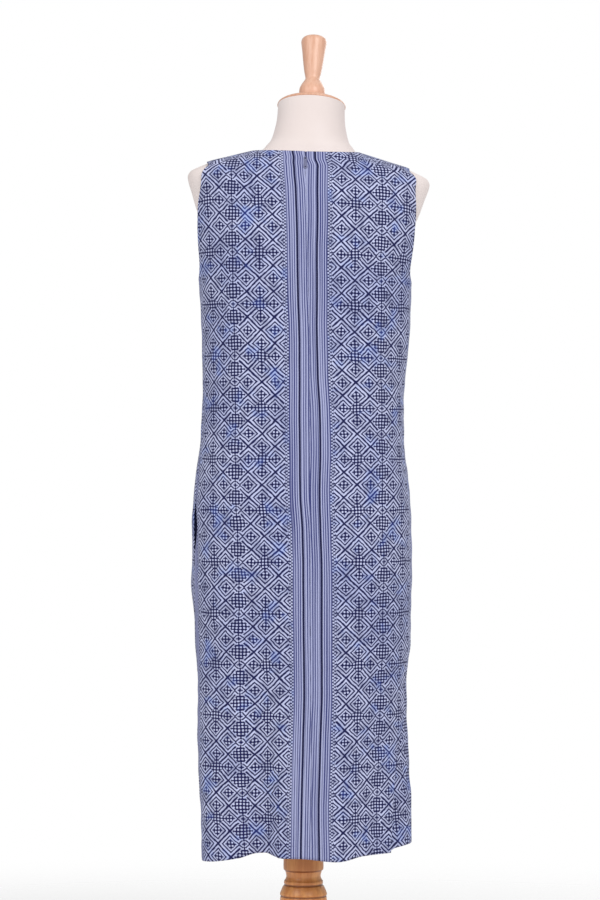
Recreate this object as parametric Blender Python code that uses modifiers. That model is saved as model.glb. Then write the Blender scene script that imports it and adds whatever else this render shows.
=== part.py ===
"""A sleeveless sheath dress on a limbless dress form with a turned wooden stand.

Metres, +Z up. The floor is at z = 0 and the pole stands on the Z axis. The back of the dress
faces -Y and its wearer's right side is at +X, so a viewer behind the dress looks along +Y.
"""
import math

import bmesh
import bpy
from mathutils import Matrix, Vector

# Whole object
COLLECTION_NAME = "sheath_dress_on_form"
CLEARANCE = 0.0003

# Cloth, and the heights that the cut is drawn from
CLOTH = 0.0013
UNDERARM = 1.205
POCKET_TOP = 0.878
POCKET_FOOT = 0.767
SLIT_TOP = 0.492
BACK_NECK_HEIGHT = 1.4045
FRONT_NECK_HEIGHT = 1.322
# The neckline sits a little to the left of the form's own neck, so the two points differ
LEFT_NECK_POINT_HEIGHT = 1.4060
RIGHT_NECK_POINT_HEIGHT = 1.4102
LEFT_SHOULDER_TIP_HEIGHT = 1.3874
RIGHT_SHOULDER_TIP_HEIGHT = 1.3892

# Mesh of a panel: columns from a centre line to a side, and rows in each span of its height
HALF_COLUMNS = 13
NECK_COLUMNS = 7
SPAN_ROWS = {"slit": 5, "thigh": 7, "pocket": 4, "waist": 9}
YOKE_ROWS = 12
YOKE_CLOSING = 1.35
SEAM_NEARNESS = 6
DENSE = 96
SETTLING_STEPS = 24
LONGEST_STEP = 0.004

# The form's lean: it starts at the hip and bends the upper body towards +X
LEAN_START = 0.90
LEAN_END = 1.41
LEAN_ANGLE = math.radians(2.2)

# The form rests this far under the cloth at the shoulders
SHOULDER_REST = 0.0018


class Table:
    """Rows of named columns, read at any value of the first column on a smooth curve."""

    def __init__(self, columns, rows):
        self.columns = columns
        self.rows = rows
        self.keys = [row[0] for row in rows]

    def slope(self, index, column):
        """The curve's slope at a row: zero at a turn or an end, so that it never overshoots."""
        if index in (0, len(self.rows) - 1):
            return 0.0
        before = self.rows[index][column] - self.rows[index - 1][column]
        after = self.rows[index + 1][column] - self.rows[index][column]
        if before * after <= 0.0:
            return 0.0
        before /= self.keys[index] - self.keys[index - 1]
        after /= self.keys[index + 1] - self.keys[index]
        return 2.0 * before * after / (before + after)

    def at(self, name, key):
        column = self.columns.index(name)
        if key <= self.keys[0]:
            return self.rows[0][column]
        if key >= self.keys[-1]:
            return self.rows[-1][column]
        upper = next(i for i, value in enumerate(self.keys) if value > key)
        lower = upper - 1
        width = self.keys[upper] - self.keys[lower]
        t = (key - self.keys[lower]) / width
        start = self.rows[lower][column]
        end = self.rows[upper][column]
        leave = self.slope(lower, column) * width
        arrive = self.slope(upper, column) * width
        rise = (3.0 - 2.0 * t) * t * t
        return (start * (1.0 - rise) + end * rise
                + leave * t * (1.0 - t) ** 2 - arrive * t * t * (1.0 - t))


# Inner face of the cloth: half widths left and right of the pole, depths behind and in front
DRESS = Table(
    ("height", "left", "right", "back", "front", "square"),
    (
        (0.280, 0.1565, 0.1705, 0.104, 0.112, 2.20),
        (0.326, 0.1585, 0.1695, 0.104, 0.112, 2.20),
        (0.390, 0.1615, 0.1675, 0.106, 0.112, 2.20),
        (0.452, 0.1645, 0.1645, 0.108, 0.112, 2.20),
        (0.515, 0.1660, 0.1615, 0.110, 0.112, 2.20),
        (0.579, 0.1655, 0.1610, 0.112, 0.111, 2.25),
        (0.641, 0.1695, 0.1675, 0.115, 0.110, 2.25),
        (0.704, 0.1725, 0.1685, 0.119, 0.109, 2.30),
        (0.767, 0.1745, 0.1700, 0.122, 0.109, 2.30),
        (0.830, 0.1745, 0.1685, 0.121, 0.111, 2.30),
        (0.893, 0.1695, 0.1645, 0.115, 0.112, 2.30),
        (0.956, 0.1615, 0.1570, 0.106, 0.112, 2.30),
        (1.019, 0.1585, 0.1565, 0.101, 0.116, 2.30),
        (1.082, 0.1595, 0.1605, 0.099, 0.124, 2.35),
        (1.145, 0.1625, 0.1650, 0.100, 0.132, 2.40),
        (1.205, 0.1680, 0.1660, 0.1025, 0.129, 2.40),
        (1.271, 0.1790, 0.1780, 0.1035, 0.110, 2.35),
        (1.334, 0.1880, 0.1870, 0.0970, 0.084, 2.30),
        (1.366, 0.1915, 0.1915, 0.0860, 0.074, 2.30),
        (1.374, 0.1870, 0.1870, 0.0825, 0.072, 2.30),
        (1.380, 0.1770, 0.1770, 0.0795, 0.0705, 2.30),
        (1.384, 0.1680, 0.1680, 0.0780, 0.0695, 2.30),
        (1.3884, 0.1575, 0.1575, 0.0760, 0.0690, 2.30),
        (1.395, 0.1336, 0.1336, 0.0725, 0.0680, 2.30),
        (1.4015, 0.1101, 0.1101, 0.0690, 0.0675, 2.30),
        (1.408, 0.0866, 0.0866, 0.0650, 0.0675, 2.30),
        (1.4102, 0.0794, 0.0794, 0.0640, 0.0675, 2.30),
        (1.4130, 0.0740, 0.0740, 0.0630, 0.0680, 2.30),
        (1.4180, 0.0700, 0.0700, 0.0620, 0.0680, 2.30),
    ),
)

# Outer face of the form: half width, depths, and how far the neck's rings nod forwards
FORM = Table(
    ("height", "half", "back", "front", "square", "nod"),
    (
        (0.7000, 0.1540, 0.0920, 0.0820, 2.20, 0.0),
        (0.7030, 0.1580, 0.0960, 0.0860, 2.20, 0.0),
        (0.7100, 0.1600, 0.0980, 0.0880, 2.20, 0.0),
        (0.7500, 0.1620, 0.1065, 0.0945, 2.20, 0.0),
        (0.7950, 0.1622, 0.1110, 0.0980, 2.20, 0.0),
        (0.8400, 0.1595, 0.1090, 0.0990, 2.20, 0.0),
        (0.8900, 0.1500, 0.0990, 0.0970, 2.20, 0.0),
        (0.9450, 0.1315, 0.0860, 0.0900, 2.15, 0.0),
        (0.9900, 0.1210, 0.0785, 0.0860, 2.15, 0.0),
        (1.0350, 0.1205, 0.0785, 0.0890, 2.15, 0.0),
        (1.0850, 0.1310, 0.0845, 0.1060, 2.20, 0.0),
        (1.1450, 0.1475, 0.0930, 0.1265, 2.25, 0.0),
        (1.2000, 0.1540, 0.0965, 0.1220, 2.25, 0.0),
        (1.2500, 0.1580, 0.0980, 0.1060, 2.25, 0.0),
        (1.2900, 0.1650, 0.0960, 0.0900, 2.25, 0.0),
        (1.3200, 0.1765, 0.0920, 0.0795, 2.25, 0.0),
        (1.3420, 0.1835, 0.0875, 0.0725, 2.30, 0.0),
        (1.3580, 0.1890, 0.0825, 0.0680, 2.30, 0.0),
        (1.3660, 0.1905, 0.0785, 0.0660, 2.30, 0.0),
        (1.3740, 0.1870, 0.0750, 0.0645, 2.30, 0.0),
        (1.3800, 0.1770, 0.0725, 0.0630, 2.30, 0.0),
        (1.3840, 0.1680, 0.0710, 0.0592, 2.30, 0.0),
        (1.3884, 0.1575, 0.0700, 0.0567, 2.30, 0.0),
        (1.3950, 0.1336, 0.0660, 0.0527, 2.30, 0.0),
        (1.4015, 0.1101, 0.0620, 0.0512, 2.30, 0.0),
        (1.4080, 0.0866, 0.0575, 0.0510, 2.28, 0.0),
        (1.4102, 0.0790, 0.0560, 0.0515, 2.25, 0.0),
        (1.4130, 0.0735, 0.0545, 0.0535, 2.20, 0.4),
        (1.4180, 0.0695, 0.0528, 0.0580, 2.15, 1.0),
        (1.4280, 0.0615, 0.0495, 0.0585, 2.05, 3.0),
        (1.4420, 0.0570, 0.0465, 0.0595, 2.00, 6.5),
        (1.4600, 0.0535, 0.0445, 0.0605, 2.00, 11.0),
        (1.4750, 0.0527, 0.0440, 0.0615, 2.00, 14.0),
        (1.4826, 0.0525, 0.0438, 0.0617, 2.00, 15.4),
    ),
)
FORM_SEGMENTS = 32
FORM_RINGS_APART = 0.045

# Where the side seams run, in degrees behind the side point
SEAMS = Table(
    ("height", "left", "right"),
    (
        (0.280, 2.0, 36.0),
        (0.345, 6.0, 34.0),
        (0.420, 9.0, 29.5),
        (0.455, 8.5, 24.5),
        (0.492, 8.0, 18.0),
        (0.550, 8.0, 10.0),
        (0.650, 10.0, 3.0),
        (0.750, 14.0, 0.0),
        (0.822, 16.0, 0.0),
        (0.880, 13.0, 0.0),
        (1.000, 8.0, 0.0),
        (1.100, 4.0, 0.0),
        (1.205, 0.0, 0.0),
    ),
)

# How many degrees each pocket's edges stand apart from its seam, at the middle of the mouth
POCKET_GAPE = {"left": 4.0, "right": 2.5}

# Slits: how far the front's edge passes the back's, in degrees, and how far each edge lifts
SLITS = Table(
    ("height", "left_pass", "right_pass", "left_back", "left_front", "right_back", "right_front"),
    (
        (0.280, 2.0, 5.0, 0.0020, -0.0050, 0.0060, -0.0030),
        (0.345, -4.5, 3.0, 0.0000, -0.0020, 0.0050, -0.0030),
        (0.420, -7.0, -0.5, -0.0010, 0.0010, 0.0030, -0.0020),
        (0.455, -3.5, -1.0, 0.0, 0.0, 0.0015, -0.0015),
        (0.492, 0.0, 0.0, 0.0, 0.0, 0.0, 0.0),
    ),
)
SLIT_EDGE_WIDTH = 0.032

# Armhole edges, as degrees in from the side, from the underarm to the shoulder tip
ARMHOLE = Table(
    ("along", "rise", "left_back", "right_back", "left_front", "right_front"),
    (
        (0.00, 0.000, 0.0, 0.0, 0.0, 0.0),
        (0.10, 0.030, 9.0, 10.0, 10.0, 10.0),
        (0.22, 0.120, 15.0, 17.0, 19.0, 19.0),
        (0.42, 0.360, 19.5, 22.0, 27.0, 27.0),
        (0.62, 0.630, 25.0, 26.0, 32.0, 32.0),
        (0.78, 0.830, 31.0, 31.0, 34.5, 34.0),
        (0.89, 0.940, 31.5, 30.0, 32.0, 30.5),
        (0.96, 0.985, 19.0, 16.0, 19.5, 17.5),
        (1.00, 1.000, 0.0, 0.0, 0.0, 0.0),
    ),
)

# Centre seam at the back and centre line in front, as they run down the body
CENTRES = Table(
    ("height", "back", "front"),
    (
        (0.280, 0.0120, 0.0060),
        (0.800, 0.0100, 0.0050),
        (1.020, 0.0090, 0.0040),
        (1.270, 0.0005, 0.0),
        (1.405, -0.0065, -0.0065),
    ),
)

# Hem, round the ring in degrees: its height, and how far the hanging cloth swells out there
HEM = Table(
    ("degrees", "height", "swell"),
    (
        (0.0, 0.3240, 0.0000),
        (28.0, 0.3196, -0.0115),
        (34.0, 0.3145, -0.0130),
        (42.0, 0.3136, -0.0130),
        (59.0, 0.3124, -0.0040),
        (75.0, 0.3060, 0.0110),
        (91.0, 0.3102, 0.0010),
        (101.0, 0.3096, -0.0070),
        (106.0, 0.3124, -0.0180),
        (112.0, 0.3160, -0.0270),
        (118.0, 0.3158, -0.0175),
        (127.0, 0.3092, 0.0020),
        (150.0, 0.3010, 0.0110),
        (180.0, 0.2980, 0.0000),
        (210.0, 0.3030, 0.0060),
        (233.0, 0.3075, -0.0090),
        (248.0, 0.3090, -0.0040),
        (259.0, 0.3060, 0.0120),
        (269.0, 0.3030, 0.0040),
        (285.0, 0.3100, -0.0150),
        (301.0, 0.3060, 0.0080),
        (320.0, 0.3130, -0.0060),
        (342.0, 0.3180, 0.0000),
        (360.0, 0.3240, 0.0000),
    ),
)
HEM_LEVEL = 0.3116
SWELL_TOP = 0.84
SWELL_POWER = 1.35
LONGEST_SWING = 1.2
SIDE_BLEND = 0.070

# Broad folds that show from a step away; each fades in and out along its height
FOLDS = (
    {"face": "back", "top": 1.30, "foot": 0.98, "across_top": -0.118, "across_foot": -0.098,
     "width": 0.017, "depth": 0.0035},
    {"face": "back", "top": 1.31, "foot": 1.00, "across_top": 0.122, "across_foot": 0.100,
     "width": 0.016, "depth": 0.0040},
    {"face": "back", "top": 1.12, "foot": 0.80, "across_top": -0.055, "across_foot": -0.072,
     "width": 0.018, "depth": -0.0035},
    {"face": "back", "top": 1.10, "foot": 0.82, "across_top": 0.062, "across_foot": 0.078,
     "width": 0.018, "depth": -0.0030},
    {"face": "front", "top": 1.12, "foot": 0.62, "across_top": -0.085, "across_foot": -0.105,
     "width": 0.020, "depth": 0.0045},
    {"face": "front", "top": 1.12, "foot": 0.60, "across_top": 0.088, "across_foot": 0.100,
     "width": 0.020, "depth": 0.0045},
)

# The bust: soft fullness on each side of the centre, at the ends of the bust darts
BUST_HEIGHT = 1.150
BUST_APART = 0.082
BUST_WIDTH = 0.040
BUST_TALL = 0.052
BUST_FULLNESS = 0.0050

# Zip behind the centre back seam: two tapes, a coil, a slider and its pull tab
ZIP_TOP = 1.3860
ZIP_FOOT = 0.905
ZIP_ROWS = 22
WALK_DEGREES = 0.25
TAPE_WIDTH = 0.011
TAPE_THICKNESS = 0.0008
TAPE_INSET = 0.0014
COIL_WIDTH = 0.0030
TAPE_GAP = 0.0006
COIL_THICKNESS = 0.0014
COIL_INSET = 0.0021
ZIP_MOUTH_FOOT = 1.376
ZIP_MOUTH_HALF = 0.0024
SLIDER_HEIGHT = 1.3945
SLIDER_WIDE = 0.0052
SLIDER_TALL = 0.0085
SLIDER_DEEP = 0.0020
SLIDER_GAP = 0.0004
NECK_WIDE = 0.0011
NECK_TALL = 0.0030
BRIDGE_RADIUS = 0.0017
BRIDGE_WIRE = 0.00045
PULL_LENGTH = 0.0200
PULL_HEAD_HALF = 0.0019
PULL_TAIL_HALF = 0.0027
PULL_THICKNESS = 0.0010
PULL_SLOT_HALF = 0.0010
PULL_SLOT_TOP = -0.0005
PULL_SLOT_FOOT = -0.0030
PULL_HEAD_TOP = 0.0005
PULL_REST_GAP = 0.0009
PULL_CORNER = 0.0006
TAIL_STEPS = 12
CORNER_STEPS = 4

# Pocket bags hang inside the front, and each starts behind the back panel's edge
POCKET_BAG = Table(
    ("height", "reach"),
    (
        (0.700, 0.045),
        (0.715, 0.085),
        (0.740, 0.118),
        (0.790, 0.132),
        (0.840, 0.120),
        (0.882, 0.070),
    ),
)
BAG_ROWS = 9
BAG_COLUMNS = 8
BAG_CLOTH = 0.0010
BAG_MOUTH = 0.004
BAG_ROUND = 0.0012
BAG_OUTER_INSET = 0.0019
BAG_INNER_INSET = 0.0040
BAG_BEHIND = 0.016

# Wooden cap and finial on the neck, turned about one axis that nods with the neck
CAP_NOD = math.radians(15.4)
CAP_CENTRE = (0.0, 0.0090, 1.4826 - SHOULDER_REST)
CAP_PROFILE = (
    (0.0, 0.0135),
    (0.0200, 0.0130),
    (0.0330, 0.0112),
    (0.0440, 0.0086),
    (0.0505, 0.0064),
    (0.0535, 0.0042),
    (0.0540, 0.0022),
    (0.0530, 0.0007),
    (0.0510, 0.0003),
    (0.0, 0.0003),
)
FINIAL_PROFILE = (
    (0.0, 0.1062),
    (0.0100, 0.1058),
    (0.0165, 0.1043),
    (0.0196, 0.1010),
    (0.0204, 0.0965),
    (0.0181, 0.0817),
    (0.0157, 0.0610),
    (0.0134, 0.0460),
    (0.0115, 0.0380),
    (0.0113, 0.0340),
    (0.0140, 0.0295),
    (0.0172, 0.0245),
    (0.0197, 0.0190),
    (0.0205, 0.0140),
    (0.0202, 0.0085),
    (0.0190, 0.0045),
    (0.0196, 0.0035),
    (0.0198, 0.0012),
    (0.0190, 0.0),
    (0.0, 0.0),
)
FINIAL_SEAT = 0.0138

# Stand: a steel pole, a turned wooden column and a round wooden base
POLE_RADIUS = 0.0125
POLE_TOP = FORM.keys[0] - SHOULDER_REST - CLEARANCE
POLE_FOOT = 0.3383
COLUMN_PROFILE = (
    (0.0, 0.3380),
    (0.0180, 0.3380),
    (0.0235, 0.3350),
    (0.0262, 0.3290),
    (0.0290, 0.3200),
    (0.0312, 0.3060),
    (0.0316, 0.2870),
    (0.0314, 0.2808),
    (0.0290, 0.2792),
    (0.0280, 0.2760),
    (0.0268, 0.2700),
    (0.0285, 0.2655),
    (0.0307, 0.2630),
    (0.0307, 0.2590),
    (0.0296, 0.2572),
    (0.0318, 0.2552),
    (0.0345, 0.2500),
    (0.0368, 0.2440),
    (0.0372, 0.2412),
    (0.0356, 0.2396),
    (0.0366, 0.2380),
    (0.0372, 0.2250),
    (0.0362, 0.2080),
    (0.0318, 0.1840),
    (0.0268, 0.1560),
    (0.0240, 0.1250),
    (0.0236, 0.0950),
    (0.0262, 0.0680),
    (0.0330, 0.0480),
    (0.0450, 0.0360),
    (0.0560, 0.0323),
    (0.0, 0.0323),
)
BASE_PROFILE = (
    (0.0, 0.0320),
    (0.0700, 0.0318),
    (0.1550, 0.0285),
    (0.1930, 0.0245),
    (0.2015, 0.0205),
    (0.2040, 0.0140),
    (0.2030, 0.0060),
    (0.1990, 0.0),
    (0.0, 0.0),
)
TURNED_STEPS = 24
BASE_STEPS = 32

COLOURS = {
    "dress_cloth": ((0.190, 0.210, 0.400, 1.0), 0.85, 0.0),
    "pocketing": ((0.120, 0.130, 0.280, 1.0), 0.9, 0.0),
    "zip_tape": ((0.030, 0.035, 0.110, 1.0), 0.8, 0.0),
    "zip_metal": ((0.050, 0.060, 0.160, 1.0), 0.4, 0.6),
    "form_cover": ((0.900, 0.860, 0.830, 1.0), 0.9, 0.0),
    "light_wood": ((0.790, 0.540, 0.380, 1.0), 0.45, 0.0),
    "stand_wood": ((0.450, 0.220, 0.090, 1.0), 0.45, 0.0),
    "pole_steel": ((0.600, 0.610, 0.630, 1.0), 0.3, 1.0),
}


def clear_scene():
    for old in list(bpy.data.objects):
        bpy.data.objects.remove(old, do_unlink=True)


def material(name):
    """The named material, made on its first use."""
    found = bpy.data.materials.get(name)
    if found:
        return found
    colour, roughness, metallic = COLOURS[name]
    made = bpy.data.materials.new(name)
    made.use_nodes = True
    shader = made.node_tree.nodes["Principled BSDF"]
    shader.inputs["Base Color"].default_value = colour
    shader.inputs["Roughness"].default_value = roughness
    shader.inputs["Metallic"].default_value = metallic
    return made


def add_object(name, mesh, finish):
    made = bpy.data.objects.new(name, mesh)
    made.data.materials.append(material(finish))
    bpy.data.collections[COLLECTION_NAME].objects.link(made)
    return made


def lean(point):
    """Carries a point of the upright body over with the form's slight lean towards +X."""
    rise = max(0.0, point.z - LEAN_START)
    reach = LEAN_END - LEAN_START
    bent = min(rise, reach)
    angle = LEAN_ANGLE * bent / reach
    shift = 0.5 * angle * bent + LEAN_ANGLE * max(0.0, rise - reach)
    return Vector((point.x + shift, point.y, point.z - angle * point.x))


def power(value, exponent):
    return math.copysign(abs(value) ** exponent, value)


def ring_point(left, right, back, front, square, angle):
    """A point of a squared oval: 0 degrees at +X, 90 at the back, 180 at -X, 270 in front."""
    along = power(math.cos(angle), 2.0 / square)
    out = power(math.sin(angle), 2.0 / square)
    return (along * (right if along > 0.0 else left), -out * (back if out > 0.0 else front))


def dress_ring(height, angle):
    read = [DRESS.at(name, height) for name in DRESS.columns[1:]]
    x, y = ring_point(*read, angle)
    return Vector((x, y, height))


def outside(point):
    """Above zero outside the body that the cloth is cut for, below zero inside it."""
    left, right, back, front, square = (DRESS.at(n, point.z) for n in DRESS.columns[1:])
    wide = right if point.x > 0.0 else left
    deep = front if point.y > 0.0 else back
    total = abs(point.x / wide) ** square + abs(point.y / deep) ** square
    return total ** (1.0 / square) - 1.0


def slope_of(point):
    """Gradient of outside(), by small steps."""
    step = 0.00002
    parts = []
    for axis in range(3):
        ahead = point.copy()
        behind = point.copy()
        ahead[axis] += step
        behind[axis] -= step
        parts.append((outside(ahead) - outside(behind)) / (2.0 * step))
    return Vector(parts)


def onto_body(point):
    """Moves a point along the body's normal until it lies on the body."""
    for _ in range(SETTLING_STEPS):
        gradient = slope_of(point)
        step = gradient * (outside(point) / gradient.length_squared)
        if step.length > LONGEST_STEP:
            step = step.normalized() * LONGEST_STEP
        point = point - step
    return point


def front_share(point):
    """0 on the back, 1 in front and a smooth change between them round the sides."""
    t = min(1.0, max(0.0, 0.5 + point.y / SIDE_BLEND))
    return t * t * (3.0 - 2.0 * t)


def degrees_round(point):
    """Where a point of the body is round its ring, in degrees from 0 to 360."""
    left, right, back, front, square = (DRESS.at(n, point.z) for n in DRESS.columns[1:])
    along = power(point.x / (right if point.x > 0.0 else left), square / 2.0)
    out = power(-point.y / (front if point.y > 0.0 else back), square / 2.0)
    return math.degrees(math.atan2(out, along)) % 360.0


def fold_depth(point):
    """How far the broad folds stand out of the smooth body at a point."""
    total = 0.0
    share = front_share(point)
    for fold in FOLDS:
        if not fold["foot"] < point.z < fold["top"]:
            continue
        down = (fold["top"] - point.z) / (fold["top"] - fold["foot"])
        centre = fold["across_top"] + (fold["across_foot"] - fold["across_top"]) * down
        off = (point.x - centre) / fold["width"]
        weight = share if fold["face"] == "front" else 1.0 - share
        total += weight * fold["depth"] * math.sin(math.pi * down) ** 2 * math.exp(-off * off)
    for side in (-1.0, 1.0):
        across = (point.x - side * BUST_APART) / BUST_WIDTH
        tall = (point.z - BUST_HEIGHT) / BUST_TALL
        total += share * BUST_FULLNESS * math.exp(-across * across - tall * tall)
    return total


def draped(point, lift=0.0):
    """The cloth's inner face where the body is at this point: folds and hem swells added."""
    swell = 0.0
    if point.z < SWELL_TOP:
        place = degrees_round(point)
        swing = (SWELL_TOP - point.z) / (SWELL_TOP - HEM.at("height", place))
        swell = HEM.at("swell", place) * min(swing, LONGEST_SWING) ** SWELL_POWER
    gradient = slope_of(point)
    gradient.z = 0.0
    return point + gradient.normalized() * (swell + lift + fold_depth(point))


def hem_raised(nominal, angle):
    """Height of a row at a ring angle: rows below the slits' tops follow the hem."""
    if nominal >= SLIT_TOP:
        return nominal
    down = (SLIT_TOP - nominal) / (SLIT_TOP - HEM_LEVEL)
    return SLIT_TOP - down * (SLIT_TOP - HEM.at("height", math.degrees(angle) % 360.0))


def even(count):
    """Shares from 0 to 1 in equal steps."""
    return [step / count for step in range(count + 1)]


def yoke_levels():
    """Shares from 0 to 1 for the yoke's rows, closer together near the shoulder's ridge."""
    return [1.0 - (1.0 - share) ** YOKE_CLOSING for share in even(YOKE_ROWS)]


def resample(points, shares, start_gap, end_gap):
    """Points at shares of the length of a dense line, held back from its ends by the gaps."""
    lengths = [0.0]
    for first, second in zip(points, points[1:]):
        lengths.append(lengths[-1] + (second - first).length)
    first_at = start_gap
    last_at = lengths[-1] - end_gap
    result = []
    index = 0
    for wanted_share in shares:
        wanted = first_at + (last_at - first_at) * wanted_share
        while index < len(lengths) - 2 and lengths[index + 1] < wanted:
            index += 1
        share = (wanted - lengths[index]) / (lengths[index + 1] - lengths[index])
        result.append(points[index].lerp(points[index + 1], share))
    return result


def centre_angle(face, height):
    """Ring angle of the centre seam or the centre line at a height."""
    x = CENTRES.at(face, height)
    wide = DRESS.at("right" if x > 0.0 else "left", height)
    square = DRESS.at("square", height)
    off = math.asin(math.copysign(abs(x / wide) ** (square / 2.0), x))
    return math.pi / 2.0 - off if face == "back" else 1.5 * math.pi + off


def side_angle(face, side, height):
    """Ring angle of a side seam's edge at a height."""
    degrees = SEAMS.at(side, height)
    if face == "front":
        degrees += SLITS.at(side + "_pass", height)
    if POCKET_FOOT < height < POCKET_TOP:
        mouth = math.sin(math.pi * (height - POCKET_FOOT) / (POCKET_TOP - POCKET_FOOT)) ** 2
        degrees += POCKET_GAPE[side] * mouth * (1.0 if face == "back" else -1.0)
    behind = math.radians(degrees)
    if side == "right":
        return behind if face == "back" else 2.0 * math.pi + behind
    return math.pi - behind


def centre_gap(face, height):
    """Half the gap at the centre back seam, which opens above the zip's slider."""
    if face == "front":
        return 0.0
    opened = max(0.0, (height - ZIP_MOUTH_FOOT) / (BACK_NECK_HEIGHT - ZIP_MOUTH_FOOT))
    return CLEARANCE / 2.0 + ZIP_MOUTH_HALF * opened


def body_row(face, side, nominal):
    """One row from the centre to the side seam, below the underarm, in draped cloth."""
    start = centre_angle(face, nominal)
    end = side_angle(face, side, nominal)
    dense = []
    for step in range(DENSE + 1):
        angle = start + (end - start) * step / DENSE
        smooth = dress_ring(hem_raised(nominal, angle), angle)
        off = abs(end - angle) * smooth.xy.length / SLIT_EDGE_WIDTH
        lift = SLITS.at(side + "_" + face, smooth.z) * math.exp(-off * off)
        dense.append(draped(smooth, lift))
    return resample(dense, even(HALF_COLUMNS), centre_gap(face, nominal), CLEARANCE / 2.0)


def row_heights():
    """Nominal heights of the rows from the hem to the underarm."""
    stops = (("slit", HEM_LEVEL, SLIT_TOP), ("thigh", SLIT_TOP, POCKET_FOOT),
             ("pocket", POCKET_FOOT, POCKET_TOP), ("waist", POCKET_TOP, UNDERARM))
    heights = [HEM_LEVEL]
    for span, foot, top in stops:
        rows = SPAN_ROWS[span]
        heights += [foot + (top - foot) * (i + 1) / rows for i in range(rows)]
    return heights


def neck_height(face):
    return BACK_NECK_HEIGHT if face == "back" else FRONT_NECK_HEIGHT


def on_face(face, x, height):
    """The body's point at a place across and a height, on its back or its front."""
    wide = DRESS.at("right" if x > 0.0 else "left", height)
    square = DRESS.at("square", height)
    share = max(0.0, 1.0 - min(1.0, abs(x) / wide) ** square) ** (1.0 / square)
    depth = DRESS.at(face, height) * share
    return Vector((x, -depth if face == "back" else depth, height))


def neckline_point(face, side, t):
    """A point of the neckline, from its centre at t = 0 to the shoulder seam at t = 1."""
    low = neck_height(face)
    high = LEFT_NECK_POINT_HEIGHT if side == "left" else RIGHT_NECK_POINT_HEIGHT
    middle = CENTRES.at(face, low)
    corner = DRESS.at(side, high) * (1.0 if side == "right" else -1.0)
    turn = 0.5 * math.pi * t
    x = middle + (corner - middle) * math.sin(turn)
    return on_face(face, x, low + (high - low) * (1.0 - math.cos(turn)))


def yoke_edges(face, side):
    """The centre line, armhole and top edge that bound a panel above the underarm."""
    neck = neck_height(face)
    point_height = LEFT_NECK_POINT_HEIGHT if side == "left" else RIGHT_NECK_POINT_HEIGHT
    tip_height = LEFT_SHOULDER_TIP_HEIGHT if side == "left" else RIGHT_SHOULDER_TIP_HEIGHT
    outer = side_angle(face, side, UNDERARM)
    inward = 1.0 if (face == "back") == (side == "right") else -1.0
    centre = []
    armhole = []
    neckline = []
    for step in range(DENSE + 1):
        t = step / DENSE
        height = UNDERARM + (neck - UNDERARM) * t
        centre.append(dress_ring(height, centre_angle(face, height)))
        rise = ARMHOLE.at("rise", t)
        bend = math.radians(ARMHOLE.at(side + "_" + face, t))
        armhole.append(dress_ring(UNDERARM + (tip_height - UNDERARM) * rise, outer + inward * bend))
        neckline.append(neckline_point(face, side, t))
    shoulder = [dress_ring(point_height + (tip_height - point_height) * step / DENSE, outer)
                for step in range(DENSE + 1)]
    centre = resample(centre, yoke_levels(), 0.0, 0.0)
    armhole = resample(armhole, yoke_levels(), 0.0, 0.0)
    top = resample(neckline, even(NECK_COLUMNS), centre_gap(face, neck), 0.0)
    top += resample(shoulder, even(HALF_COLUMNS - NECK_COLUMNS), 0.0, 0.0)[1:]
    return centre, armhole, top


def yoke_rows(face, side, bottom):
    """Rows above the underarm, blended between their four edges and laid on the body."""
    centre, armhole, top = yoke_edges(face, side)
    seam = Vector((0.0, -CLEARANCE / 2.0 if face == "back" else CLEARANCE / 2.0, 0.0))
    first = [onto_body(point) for point in bottom]
    rows = []
    for level, v in enumerate(yoke_levels()):
        if level == 0:
            continue
        row = []
        for column in range(HALF_COLUMNS + 1):
            u = column / HALF_COLUMNS
            across = centre[level].lerp(armhole[level], u)
            upward = first[column].lerp(top[column], v)
            corners = first[0].lerp(first[-1], u).lerp(top[0].lerp(top[-1], u), v)
            point = across + upward - corners
            if level < YOKE_ROWS and column < HALF_COLUMNS:
                point = onto_body(point)
            near_seam = v ** SEAM_NEARNESS if column >= NECK_COLUMNS else 0.0
            row.append(draped(point) + seam * near_seam)
        if face == "back":
            edge_gap = centre_gap(face, row[0].z)
            middle = CENTRES.at("back", row[0].z)
            row[0].x = middle + math.copysign(edge_gap, 1.0 if side == "right" else -1.0)
        rows.append(row)
    return rows


def half_panel(face, side):
    """Rows of a half panel from hem to neckline and shoulder, each from centre to side."""
    rows = [body_row(face, side, height) for height in row_heights()]
    return rows + yoke_rows(face, side, rows[-1])


def sheet_mesh(name, rows, outward):
    """An open sheet through rows of points, its faces turned to the side that outward names."""
    made = bmesh.new()
    grid = [[made.verts.new(lean(point)) for point in row] for row in rows]
    for lower, upper in zip(grid, grid[1:]):
        for i in range(len(lower) - 1):
            corners = (lower[i], lower[i + 1], upper[i + 1], upper[i])
            made.faces.new(corners if outward else corners[::-1])
    mesh = bpy.data.meshes.new(name)
    made.to_mesh(mesh)
    made.free()
    mesh.shade_smooth()
    return mesh


def thicken(piece, thickness, offset):
    """Gives an open sheet its wall: offset 1 builds outwards and -1 inwards."""
    wall = piece.modifiers.new("wall", "SOLIDIFY")
    wall.thickness = thickness
    wall.offset = offset
    wall.use_even_offset = False


def add_panels():
    """The two backs, either side of the centre back seam, and the one-piece front."""
    for side in ("left", "right"):
        rows = half_panel("back", side)
        name = "back_" + side
        panel = add_object(name, sheet_mesh(name, rows, side == "right"), "dress_cloth")
        thicken(panel, CLOTH, 1.0)
    left = half_panel("front", "left")
    right = half_panel("front", "right")
    rows = [[*reversed(a[1:]), *b] for a, b in zip(left, right)]
    front = add_object("front", sheet_mesh("front", rows, False), "dress_cloth")
    thicken(front, CLOTH, 1.0)


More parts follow.
